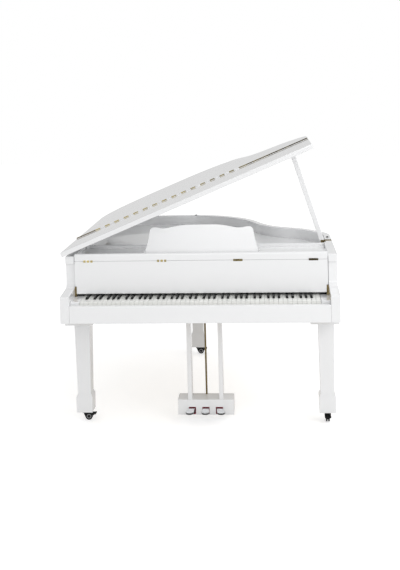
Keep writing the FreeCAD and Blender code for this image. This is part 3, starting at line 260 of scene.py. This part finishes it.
# %% Lacquer and key plastics
make_finish("white_lacquer", [(0.885, 0.888, 0.895), (0.868, 0.872, 0.878)], patch=2.5, grain_scale=45,
            gloss_range=(0.19, 0.26), bump=(0.02, 0.0001), coat=1.0)
make_finish("ivory_plastic", [(0.9, 0.9, 0.87), (0.86, 0.865, 0.835)], patch=9, grain_scale=900,
            gloss_range=(0.17, 0.26), bump=(0.02, 0.0001))
make_finish("black_plastic", [(0.004, 0.004, 0.0045), (0.008, 0.008, 0.009)], patch=20, grain_scale=1400,
            gloss_range=(0.38, 0.5), bump=(0.06, 0.0002), specular=0.22)
print("lacquer and key plastics:", len(finishes))

# %% [markdown]
# Brass is drawn bright at the bass side and darker towards the treble, a painted reflection of how
# the light falls along the case. Pieces that are never polished wear an older brass. Chrome is the
# smoothest of the metals, bolts are brushed steel, and the casters have black paint over theirs.

# %% Metals
# painted reflection: the drift draws the brass darker towards the treble
make_finish("brass", [(0.58, 0.47, 0.18), (0.06, 0.045, 0.02)], patch=45, grain_scale=900,
            gloss_range=(0.2, 0.38), bump=(0.08, 0.0002), metallic=1.0, painted_reflection_drift=(1.1, 0, 0))
make_finish("aged_brass", [(0.26, 0.2, 0.1), (0.13, 0.1, 0.05)], patch=45, grain_scale=900,
            gloss_range=(0.25, 0.42), bump=(0.1, 0.0002), metallic=1.0)
# painted reflection: the underside weight draws the chrome's downward faces dark
make_finish("chrome", [(0.78, 0.79, 0.8), (0.7, 0.71, 0.73)], patch=30, grain_scale=700,
            gloss_range=(0.07, 0.16), bump=(0.02, 0.0001), metallic=1.0, painted_underside_reflection=0.95)
make_finish("steel", [(0.46, 0.46, 0.47), (0.36, 0.36, 0.37)], patch=30, grain_scale=900,
            gloss_range=(0.3, 0.48), bump=(0.1, 0.0002), metallic=1.0, stretched=(1, 1, 8))
make_finish("black_steel", [(0.006, 0.006, 0.006), (0.014, 0.014, 0.014)], patch=40, grain_scale=1500,
            gloss_range=(0.34, 0.5), bump=(0.12, 0.0002), specular=0.2)
print("finishes with the metals:", len(finishes))

# %% [markdown]
# The rest is out of the way or underfoot: wheels and grilles of dark plastic, green circuit boards,
# red felt in the pedal slots, rubber buttons, and boards left bare where nobody looks.

# %% Plastics, felt, rubber and bare wood
make_finish("dark_plastic", [(0.007, 0.007, 0.007), (0.013, 0.013, 0.014)], patch=25, grain_scale=1600,
            gloss_range=(0.42, 0.6), bump=(0.2, 0.0003), specular=0.2)
make_finish("circuit", [(0.01, 0.07, 0.03), (0.02, 0.14, 0.06)], patch=60, grain_scale=500,
            gloss_range=(0.3, 0.5), bump=(0.2, 0.0004))
make_finish("red_felt", [(0.32, 0.025, 0.045), (0.2, 0.015, 0.03)], patch=160, grain_scale=2600,
            gloss_range=(0.85, 1.0), bump=(0.7, 0.0008))
make_finish("rubber", [(0.012, 0.012, 0.012), (0.03, 0.03, 0.03)], patch=35, grain_scale=1200,
            gloss_range=(0.55, 0.75), bump=(0.2, 0.0003))
make_finish("bare_wood", [(0.64, 0.56, 0.45), (0.55, 0.47, 0.36)], patch=14, grain_scale=260,
            gloss_range=(0.55, 0.8), bump=(0.25, 0.0006), stretched=(1, 0.12, 1))
print("finishes:", ", ".join(sorted(finishes)))

# %% [markdown]
# ## Which piece wears which finish
# The record names a material slot for every piece. This table is the paint shop's list: most pieces
# wear the finish of their slot. The caster forks wear black paint over their steel, the ears of the
# music desk are sprayed white with the desk, and brass that is touched or hidden has aged brown.

# %% Paint the frame
SIDES = ("left", "right", "rear")
slot_of = {}
for entry in frame["record"]["subparts"]:
    slot_of[entry["node"]] = entry["material_slot"]
finish_of = dict(slot_of)
finish_of["desk_pivots"] = "white_lacquer"
for name in ("fallboard_brackets", "prop_bracket", "pedal_tube", "lid_hinges_case", "lid_hinges_lid"):
    finish_of[name] = "aged_brass"
for side in SIDES:
    finish_of["caster_fork_" + side] = "black_steel"
for name, node in nodes.items():
    node.data.materials.clear()
    node.data.materials.append(finishes[finish_of[name]])
print("painted:", len(finish_of), "pieces with", len(set(finish_of.values())), "finishes")

# %% [markdown]
# ## Eased edges
# A sprayed board never has a knife edge: the maker rounds it so that the lacquer holds, and that
# small round is what catches the light along every edge of the case. A piece is copied from the
# frame, its loose triangles are merged, flat areas are joined, and a bevel rounds what is sharp.
# Weighted normals then keep the wide faces flat in reflections. The copy stands for its node.

# %% Helpers for picking and easing
def choose(piece):
    bpy.ops.object.select_all(action="DESELECT")
    piece.select_set(True)
    bpy.context.view_layer.objects.active = piece


def apply_modifier(piece, kind, **settings):
    choose(piece)
    modifier = piece.modifiers.new(kind.lower(), kind)
    for label, value in settings.items():
        setattr(modifier, label, value)
    bpy.ops.object.modifier_apply(modifier=modifier.name)


def bevel(piece, width, steps, sharp_degrees):
    apply_modifier(piece, "BEVEL", width=width, segments=steps, limit_method="ANGLE",
                   angle_limit=math.radians(sharp_degrees), use_clamp_overlap=True)


def ease(node, radius, steps=3):
    choose(nodes[node])
    bpy.ops.object.duplicate()
    piece = bpy.context.object
    piece.name = node + "_eased"
    del piece["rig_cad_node"]
    bpy.ops.object.mode_set(mode="EDIT")
    bpy.ops.mesh.select_all(action="SELECT")
    bpy.ops.mesh.remove_doubles(threshold=0.00001)
    bpy.ops.mesh.dissolve_limited(angle_limit=math.radians(0.5))
    bpy.ops.object.mode_set(mode="OBJECT")
    bevel(piece, radius, steps, 32)
    bpy.ops.object.shade_smooth_by_angle(angle=math.radians(40))
    apply_modifier(piece, "WEIGHTED_NORMAL", keep_sharp=True)
    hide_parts(node)
    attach(piece, body_of_node[node])
    return piece


print("easing helpers ready")

# %% Ease the case, the lid and the stand
edge_radius = {
    "rim": 0.002, "arm_left": 0.003, "arm_right": 0.003, "key_slip": 0.003, "key_blocks": 0.0015,
    "music_shelf": 0.0015, "belly_rail": 0.002, "lid_main": 0.003, "lid_flap": 0.003, "lid_prop": 0.0025,
    "music_desk": 0.003, "fallboard": 0.002, "fallboard_lip": 0.002, "leg_front_left": 0.003,
    "leg_front_right": 0.003, "leg_rear": 0.003, "leg_plates": 0.003, "lyre_posts": 0.002,
    "pedal_box": 0.002,
}
for node, radius in edge_radius.items():
    piece = ease(node, radius)
    print("eased", piece.name, len(piece.data.polygons), "faces")

# %% [markdown]
# ## Keys, pedals and metalwork
# The keys are moulded, so their edges are a little softer than a cut. The pedals are cast and
# polished by hand, which leaves a generous round. Hinges and brackets are stamped, with a round that
# is only felt by a finger. All of them are eased with the same helper, with a radius that fits how
# each is made.

# %% Ease the keys, the pedals and the metalwork
small_radius = {
    "white_keys_bass": 0.0003, "white_keys_treble": 0.0003, "key_c": 0.0003, "key_d": 0.0003,
    "black_keys_bass": 0.0012, "black_keys_treble": 0.0012, "key_c_sharp": 0.0012,
    "pedal_left": 0.002, "pedal_middle": 0.002, "pedal_right": 0.002, "pedal_felts": 0.0008,
    "fallboard_brackets": 0.0007, "fallboard_hinges": 0.0003, "lip_hinges": 0.0003,
    "desk_pivots": 0.001, "lid_hinges_case": 0.0004, "lid_hinges_lid": 0.0004, "prop_bracket": 0.0005,
    "speakers": 0.002,
}
for kind, radius in (("caster_fork_", 0.0007), ("caster_brake_", 0.001)):
    for side in SIDES:
        small_radius[kind + side] = radius
small_radius["lid_buttons"] = 0.001
eased = {}
for node, radius in small_radius.items():
    eased[node] = ease(node, radius, 2)
print("eased small pieces:", len(eased))

# %% [markdown]
# ## Painted highlights on the small hinges
# On the bass side the small hinges of the fallboard's lip show bright joints between the knuckles,
# with three spots of brass left on each hinge. White faces paint these highlights. A painted mask
# could show this, but real faces keep the border crisp at any distance: the hinge is cut across
# where the painted highlight starts and ends, and the faces between wear the white lacquer.

# %% Paint highlights on two of the small hinges
SMALL_HINGES = (-0.583, -0.197)
HIGHLIGHT_FROM = 0.006
HIGHLIGHT_TO = 0.0125
for node in ("fallboard_hinges", "lip_hinges"):
    piece = eased[node]
    choose(piece)
    bpy.ops.object.mode_set(mode="EDIT")
    for middle in SMALL_HINGES:
        for offset in (-HIGHLIGHT_TO, -HIGHLIGHT_FROM, HIGHLIGHT_FROM, HIGHLIGHT_TO):
            bpy.ops.mesh.select_all(action="SELECT")
            bpy.ops.mesh.bisect(plane_co=(middle + offset, 0, 0), plane_no=(1, 0, 0))
    bpy.ops.object.mode_set(mode="OBJECT")
    piece.data.materials.append(finishes["white_lacquer"])
    painted_highlight_faces = 0
    for polygon in piece.data.polygons:
        offset = min(abs(polygon.center.x - middle) for middle in SMALL_HINGES)
        # painted highlight: white lacquer on the joints between the brass spots
        if HIGHLIGHT_FROM < offset < HIGHLIGHT_TO:
            polygon.material_index = 1
            painted_highlight_faces += 1
    print(node, "faces with lacquer:", painted_highlight_faces, "of", len(piece.data.polygons))

# %% [markdown]
# ## Modelling helpers
# New pieces start as a blank, turned or sawn, and are shaped in edit mode. Faces are picked by which
# way they look, so a helper does that. The edges are rounded last.

# %% Blanks, and faces to shape
def turned_blank(sides, radius, depth, middle=0.0):
    bpy.ops.object.select_all(action="DESELECT")
    bpy.ops.mesh.primitive_cylinder_add(vertices=sides, radius=radius, depth=depth, location=(0, 0, middle))
    bpy.ops.object.transform_apply(location=True, rotation=True, scale=True)
    return bpy.context.object


def sawn_blank(size, middle):
    bpy.ops.object.select_all(action="DESELECT")
    bpy.ops.mesh.primitive_cube_add(size=1, location=middle)
    bpy.context.object.scale = size
    bpy.ops.object.transform_apply(location=True, rotation=True, scale=True)
    return bpy.context.object


def pick_faces(piece, test):
    if bpy.context.mode != "OBJECT":
        bpy.ops.object.mode_set(mode="OBJECT")
    choose(piece)
    bpy.ops.object.mode_set(mode="EDIT")
    bpy.ops.mesh.select_mode(type="FACE")
    bpy.ops.mesh.select_all(action="DESELECT")
    bpy.ops.object.mode_set(mode="OBJECT")
    for polygon in piece.data.polygons:
        polygon.select = test(polygon.normal)
    bpy.ops.object.mode_set(mode="EDIT")


def push_faces(distance, direction=(0, 0, 1)):
    step = Vector(direction) * distance
    bpy.ops.mesh.extrude_region_move(TRANSFORM_OT_translate={"value": step})


def round_off(piece, width, sharp_degrees):
    bpy.ops.object.mode_set(mode="OBJECT")
    bevel(piece, width, 2, sharp_degrees)
    bpy.ops.object.shade_smooth_by_angle(angle=math.radians(35))


print("blanks and face helpers ready")

# %% [markdown]
# A row of screws is fitted as one job. A finished piece is copied to each of its places, each copy
# with its own mesh, and the copies are joined. A place is a point, a way to face and a turn about it.

# %% Turn a part to face a way, set copies
def facing(direction, spot, turned=0.0):
    turn_to = Vector(direction).to_track_quat("Z", "Y").to_matrix().to_4x4()
    return Matrix.Translation(spot) @ turn_to @ Matrix.Rotation(turned, 4, "Z")


def set_copies(master, name, places, body, finish):
    copies = []
    for place_matrix in places:
        mesh = master.data.copy()
        mesh.transform(place_matrix)
        copies.append(bpy.data.objects.new(name, mesh))
        bpy.context.scene.collection.objects.link(copies[-1])
    choose(copies[0])
    for copy in copies:
        copy.select_set(True)
    if len(copies) > 1:
        bpy.ops.object.join()
    piece = bpy.context.object
    piece.name = name
    piece.data.materials.clear()
    piece.data.materials.append(finishes[finish])
    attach(piece, body)
    return piece


print("copying helpers ready")

# %% [markdown]
# ## Screws
# Hinges and brackets are held by slotted brass screws with a low countersunk head. One screw is a
# short cylinder whose top is inset and raised a little, and a thin bar cuts the slot.

# %% Model one screw
SCREW_R = 0.0032
SCREW_T = 0.001
SCREW_BEVEL = 0.0009
SCREW_CROWN = 0.0004
SLOT_LENGTH = 0.01
SLOT_W = 0.0009
screw = turned_blank(14, SCREW_R, SCREW_T)
screw.name = "screw_master"
pick_faces(screw, lambda normal: normal.z > 0.9)
bpy.ops.mesh.inset(thickness=SCREW_BEVEL)
bpy.ops.transform.translate(value=(0, 0, SCREW_CROWN))
bpy.ops.object.mode_set(mode="OBJECT")
slot_bar = sawn_blank((SLOT_LENGTH, SLOT_W, SLOT_W), (0, 0, SCREW_T / 2 + SCREW_CROWN))
apply_modifier(screw, "BOOLEAN", operation="DIFFERENCE", object=slot_bar)
bpy.data.objects.remove(slot_bar, do_unlink=True)
print("screw:", len(screw.data.polygons), "faces")

# %% [markdown]
# Three screws hold each lid hinge to the side of the case, two hold the prop's bracket on the rim, and
# two hold each of the fallboard's brackets. The slots are left at different turns, as they stop when
# the screw is tight, so each turn is worked out from the screw's place.

# %% Fit the screws of hinges and brackets
LID_HINGES_Y = (0.5697, 0.8546, 1.1395)
HINGE_FACE_X = -0.7061
HINGE_SCREW_Z = 0.889
HINGE_SCREW_PITCH = 0.032
PROP_SCREWS_X = (0.686, 0.6955)
PROP_SCREW_Y = 0.49
BRACKET_SCREWS_X = (-0.653, 0.653)
BRACKET_SCREWS_Z = (0.712, 0.747)
BRACKET_FACE_Y = 0.1149
hinge_places = []
for middle in LID_HINGES_Y:
    for along in (-HINGE_SCREW_PITCH, 0, HINGE_SCREW_PITCH):
        spot = (HINGE_FACE_X, middle + along, HINGE_SCREW_Z)
        hinge_places.append(facing((-1, 0, 0), spot, along * 40))
prop_low, prop_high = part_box("prop_bracket")
for x in PROP_SCREWS_X:
    hinge_places.append(facing((0, 0, 1), (x, PROP_SCREW_Y, prop_high.z + 0.0001), x * 9))
for x in BRACKET_SCREWS_X:
    for z in BRACKET_SCREWS_Z:
        hinge_places.append(facing((0, -1, 0), (x, BRACKET_FACE_Y, z), z * 30))
set_copies(screw, "hinge_screws", hinge_places, "case", "aged_brass")
print("screws of hinges and brackets:", len(hinge_places))

# %% [markdown]
# The legs hang from plates under the case. Their bolts have the same slotted head, larger and in plain
# steel, so the screw is scaled up for them: four for each front leg and two for the rear one.

# %% Fit the bolts of the leg plates
BOLT_SCALE = 2.4
PLATE_FACE_Z = 0.5649
FRONT_BOLTS_X = (-0.690, -0.575, 0.690, 0.575)
FRONT_BOLTS_Y = (0.085, 0.318)
REAR_BOLTS_X = (-0.187, -0.061)
REAR_BOLTS_Y = (1.315,)
bolt_places = []
for row_x, row_y in ((FRONT_BOLTS_X, FRONT_BOLTS_Y), (REAR_BOLTS_X, REAR_BOLTS_Y)):
    for x in row_x:
        for y in row_y:
            bolt_places.append(facing((0, 0, -1), (x, y, PLATE_FACE_Z), y * 7) @ Matrix.Scale(BOLT_SCALE, 4))
set_copies(screw, "leg_plate_screws", bolt_places, "case", "steel")
bpy.data.objects.remove(screw, do_unlink=True)
print("bolts of the leg plates:", len(bolt_places))

# %% [markdown]
# ## The long hinge of the lid's flap
# The front flap folds on a strip hinge as long as the lid is wide. The hinge lies along the axis of
# the flap's joint, which the record gives, and the lid stands open, so a matrix carries the hinge from
# a level bench to its slope. One knuckle is a short tube with eased ends.

# %% Model one knuckle
STRIP_LENGTH = 1.410
KNUCKLES = 48
KNUCKLE_R = 0.0027
KNUCKLE_GAP = 0.0004
KNUCKLE_EASE = 0.0006
joint_of = {}
for entry in frame["record"]["behaviour"]["joints"]:
    joint_of[entry["name"]] = entry
fold = joint_of["flap_fold"]
strip_way = -Vector(fold["axis"])
lid_up = Vector((-strip_way.z, 0, strip_way.x))
strip_place = Matrix((strip_way, Vector((0, 1, 0)), lid_up)).transposed().to_4x4()
strip_place.translation = Vector(fold["pos_m"])
knuckle_pitch = STRIP_LENGTH / KNUCKLES
knuckle = turned_blank(12, KNUCKLE_R, knuckle_pitch - KNUCKLE_GAP)
knuckle.data.transform(Matrix.Rotation(math.pi / 2, 4, "Y"))
pick_faces(knuckle, lambda normal: abs(normal.x) > 0.9)
bpy.ops.mesh.inset(thickness=KNUCKLE_EASE)
bpy.ops.transform.resize(value=(1.012, 1, 1), center_override=(0, 0, 0))
bpy.ops.object.mode_set(mode="OBJECT")
bpy.ops.object.shade_smooth_by_angle(angle=math.radians(35))
print("knuckle:", len(knuckle.data.polygons), "faces,", round(knuckle_pitch * 1000, 1), "mm long")

# %% [markdown]
# The knuckles of the two leaves take turns on the pin, so every second one rides on the lid and the
# others on the flap. Towards the middle the flap's knuckles wear white lacquer, a painted reflection
# of the light the brass catches there, so the line reads as dashes of brass. The first few at the
# bass end wear a darker brass.

# %% Set the knuckles
DARK_BRASS_TO = 0.11
PAINTED_REFLECTION_TO = 1.0
knuckle_places = {}
for i in range(KNUCKLES):
    spot = (i + 0.5) * knuckle_pitch
    leaf_body = "lid" if i % 2 == 0 else "lid_flap"
    finish = "brass"
    if spot < DARK_BRASS_TO:
        finish = "aged_brass"
    # painted reflection: white lacquer on the flap's knuckles stands for the light they catch
    elif leaf_body == "lid_flap" and spot < PAINTED_REFLECTION_TO:
        finish = "white_lacquer"
    matrix = strip_place @ Matrix.Translation((spot - STRIP_LENGTH / 2, 0, 0))
    knuckle_places.setdefault((leaf_body, finish), []).append(matrix)
for (leaf_body, finish), places in knuckle_places.items():
    set_copies(knuckle, f"strip_knuckles_{leaf_body}_{finish}", places, leaf_body, finish)
bpy.data.objects.remove(knuckle, do_unlink=True)
print("knuckles:", KNUCKLES, "in", len(knuckle_places), "groups")

# %% [markdown]
# The leaves are let into the wood and lacquered over, so they show only as a faint step. Each is a
# thin bar whose top is inset and raised by the thickness of the lacquer.

# %% Model the two leaves
LEAF_W = 0.0143
LEAF_T = 0.0012
LEAF_OFF = 0.00785
LEAF_BORDER = 0.0012
LACQUER_T = 0.00015


def strip_leaf(name, side, body, node):
    leaf = sawn_blank((STRIP_LENGTH, LEAF_W, LEAF_T), (0, side * LEAF_OFF, -KNUCKLE_R))
    pick_faces(leaf, lambda normal: normal.z > 0.9)
    bpy.ops.mesh.inset(thickness=LEAF_BORDER)
    bpy.ops.transform.translate(value=(0, 0, LACQUER_T))
    bpy.ops.object.mode_set(mode="OBJECT")
    bevel(leaf, 0.0003, 2, 50)
    leaf.data.transform(strip_place)
    leaf.name = name
    leaf.data.materials.append(finishes["white_lacquer"])
    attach(leaf, body)
    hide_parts(node)
    return leaf


strip_leaf("strip_leaf_rear", 1, "lid", "flap_hinge_rear")
strip_leaf("strip_leaf_front", -1, "lid_flap", "flap_hinge_front")
print("leaves let in along", STRIP_LENGTH, "m")

# %% [markdown]
# ## Caster wheels
# Each caster rolls on two narrow moulded wheels. A wheel is turned from a cylinder: the outer face is
# inset and sunk to a dish, a hub cap rises in its middle, and the inner face carries half of the axle.
# The tread's shoulders are rounded.

# %% Model one wheel
WHEEL_R = 0.019
WHEEL_T = 0.007
WHEEL_OFF = 0.00625
TREAD_W = 0.0034
DISH_DEPTH = 0.0016
HUB_RISE = 0.0014
AXLE_R = WHEEL_R - 0.0151
AXLE_HALF = 0.00265
wheel = turned_blank(40, WHEEL_R, WHEEL_T, WHEEL_OFF)
pick_faces(wheel, lambda normal: normal.z > 0.9)
bpy.ops.mesh.inset(thickness=TREAD_W)
push_faces(-DISH_DEPTH)
bpy.ops.mesh.inset(thickness=0.0012)
bpy.ops.mesh.inset(thickness=0.0062)
push_faces(HUB_RISE)
bpy.ops.mesh.inset(thickness=0.0018)
push_faces(-0.0006)
pick_faces(wheel, lambda normal: normal.z < -0.9)
bpy.ops.mesh.inset(thickness=WHEEL_R - AXLE_R)
push_faces(-AXLE_HALF)
round_off(wheel, 0.0007, 40)
print("wheel:", len(wheel.data.polygons), "faces")

# %% [markdown]
# The second wheel of a pair is the first one turned about, on the axle that the record gives for the
# roll joint of each caster.

# %% Fit the wheels
def wheel_places(side):
    roll = joint_of["roll_" + side]
    axle = Vector(roll["axis"])
    return [facing(axle, roll["pos_m"]), facing(-axle, roll["pos_m"])]


for side in SIDES:
    pair = set_copies(wheel, "wheel_pair_" + side, wheel_places(side), "wheels_" + side,
                      "dark_plastic")
    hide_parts("caster_wheels_" + side)
bpy.data.objects.remove(wheel, do_unlink=True)
print("wheel pairs:", len(SIDES))

# %% [markdown]
# A plain steel ring is pressed into the dish of each wheel, round its hub cap. It is what glints when
# the caster is seen from the side. The ring is a short cylinder with both ends inset and bridged.

# %% Press the hub rings in
RING_R = 0.0118
RING_W = 0.0028
RING_T = 0.0012
RING_OFF = 0.0086
ring = turned_blank(32, RING_R, RING_T, RING_OFF)
pick_faces(ring, lambda normal: abs(normal.z) > 0.9)
bpy.ops.mesh.inset(thickness=RING_W)
bpy.ops.mesh.bridge_edge_loops()
bpy.ops.mesh.select_all(action="SELECT")
bpy.ops.mesh.normals_make_consistent(inside=False)
round_off(ring, 0.0003, 50)
for side in SIDES:
    set_copies(ring, "hub_rings_" + side, wheel_places(side), "wheels_" + side, "steel")
print("hub ring:", len(ring.data.polygons), "faces")
bpy.data.objects.remove(ring, do_unlink=True)

# %% [markdown]
# ## Speaker grilles
# The two speakers fire down through round holes in the bottom board. Each hole is covered by a moulded
# grille with a flat rim and rings that stand up in steps, made by insetting the face of a disc and
# pushing every other ring inwards.

# %% Model one grille and fit both
GRILLE_R = 0.088
GRILLE_T = 0.005
GRILLE_RIM = 0.01
RING_STEPS = 7
STEP_HEIGHT = 0.002
WIDE_RING = 0.0105
NARROW_RING = 0.006
GRILLE_SPOTS = ((0.380, 0.640, 0.6009), (-0.400, 0.900, 0.6009))
grille = turned_blank(56, GRILLE_R, GRILLE_T, -GRILLE_T / 2)
pick_faces(grille, lambda normal: normal.z < -0.9)
bpy.ops.mesh.inset(thickness=GRILLE_RIM)
for step in range(RING_STEPS):
    inwards = step % 2 == 0
    push_faces(STEP_HEIGHT if inwards else -STEP_HEIGHT)
    bpy.ops.mesh.inset(thickness=WIDE_RING if inwards else NARROW_RING)
round_off(grille, 0.0004, 50)
grille_places = [Matrix.Translation(spot) for spot in GRILLE_SPOTS]
set_copies(grille, "speaker_grilles", grille_places, "case", "dark_plastic")
print("grille:", len(grille.data.polygons), "faces")
bpy.data.objects.remove(grille, do_unlink=True)

# %% [markdown]
# ## The board behind the fallboard
# When the fallboard is down, a plain lacquered board is seen where it stood. It closes the case above
# the tails of the keys and stops dust. It is thin, with a shallow sunk panel, and hangs from the music
# shelf between the two arms, clear of the fallboard's turn.

# %% Model the board
BOARD_SIZE = (1.315, 0.005, 0.159)
BOARD_MIDDLE = (0, 0.1455, 0.797)
PANEL_BORDER = 0.018
PANEL_DEPTH = 0.0012
dust_board = sawn_blank(BOARD_SIZE, BOARD_MIDDLE)
dust_board.name = "dust_board"
pick_faces(dust_board, lambda normal: normal.y < -0.9)
bpy.ops.mesh.inset(thickness=PANEL_BORDER)
push_faces(PANEL_DEPTH, (0, 1, 0))
round_off(dust_board, 0.001, 40)
dust_board.data.materials.append(finishes["white_lacquer"])
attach(dust_board, "case")
print("dust board:", len(dust_board.data.polygons), "faces")

# %% [markdown]
# ## The studio
# The photograph has a plain white ground with soft shadows under the feet. The floor is a wide pale
# plane. It shines a little in the camera's view, and less in reflections, so that it turns white
# without throwing light on the piano or glaring in its lacquer. It still darkens where the piano keeps
# the light away.

# %% Lay the floor
FLOOR_GLOW = 0.5
MIRRORED_GLOW = 0.2
bpy.ops.object.select_all(action="DESELECT")
bpy.ops.mesh.primitive_plane_add(size=30, location=(0, 0, -0.0005))
floor = bpy.context.object
floor.name = "studio_floor"
paper = bpy.data.materials.new("studio_paper")
paper.use_nodes = True
tree = paper.node_tree
shader = tree.nodes["Principled BSDF"]
shader.inputs["Base Color"].default_value = (0.8, 0.8, 0.8, 1)
shader.inputs["Roughness"].default_value = 0.9
shader.inputs["Specular IOR Level"].default_value = 0.1
shader.inputs["Emission Color"].default_value = (1, 1, 1, 1)
seen = tree.nodes.new("ShaderNodeLightPath")
mirrored = tree.nodes.new("ShaderNodeMath")
mirrored.operation = "MULTIPLY"
mirrored.inputs[1].default_value = MIRRORED_GLOW
strength = tree.nodes.new("ShaderNodeMath")
strength.operation = "MULTIPLY_ADD"
strength.inputs[1].default_value = FLOOR_GLOW
tree.links.new(seen.outputs["Is Glossy Ray"], mirrored.inputs[0])
tree.links.new(seen.outputs["Is Camera Ray"], strength.inputs[0])
tree.links.new(mirrored.outputs[0], strength.inputs[2])
tree.links.new(strength.outputs[0], shader.inputs["Emission Strength"])
floor.data.materials.append(paper)
print("floor glow", FLOOR_GLOW, "in the camera's view,", MIRRORED_GLOW, "in reflections")

# %% [markdown]
# Most of the light is an even sky. It is brighter where the camera sees it, so that the ground behind
# the piano is white while the light on the piano stays mild.

# %% Hang the sky
SKY_LIGHT = 0.71
SKY_SEEN = 1.0
world = bpy.data.worlds.new("studio_world")
bpy.context.scene.world = world
world.use_nodes = True
tree = world.node_tree
sky = tree.nodes["Background"]
sky.inputs["Color"].default_value = (1, 1, 1, 1)
seen = tree.nodes.new("ShaderNodeLightPath")
brightness = tree.nodes.new("ShaderNodeMapRange")
brightness.inputs["To Min"].default_value = SKY_LIGHT
brightness.inputs["To Max"].default_value = SKY_SEEN
tree.links.new(seen.outputs["Is Camera Ray"], brightness.inputs["Value"])
tree.links.new(brightness.outputs["Result"], sky.inputs["Strength"])
print("sky light", SKY_LIGHT, "seen as", SKY_SEEN)

# %% [markdown]
# Two large soft lamps high at the right shine in under the open lid and leave the inner sides of the
# legs in shade, and a wide one by the camera lifts the upright faces. Large lamps are used because
# glossy lacquer mirrors a small one as a hard spot.

# %% Set up the lamps
def soft_lamp(name, spot, target, width, height, power):
    data = bpy.data.lights.new(name, "AREA")
    data.shape = "RECTANGLE"
    data.size = width
    data.size_y = height
    data.energy = power
    lamp = bpy.data.objects.new(name, data)
    lamp.location = spot
    lamp.rotation_euler = (Vector(target) - Vector(spot)).to_track_quat("-Z", "Y").to_euler()
    bpy.context.scene.collection.objects.link(lamp)


soft_lamp("front_lamp", (0.2, -4.8, 2.4), (0, 0.3, 0.8), 4.0, 2.6, 48)
soft_lamp("corner_lamp", (3.2, -2.0, 3.3), (0, 0.8, 0.9), 2.5, 1.6, 40)
soft_lamp("side_lamp", (3.9, 0.7, 3.1), (0, 0.8, 0.9), 3.0, 1.6, 30)
bpy.context.scene.view_settings.view_transform = "Standard"
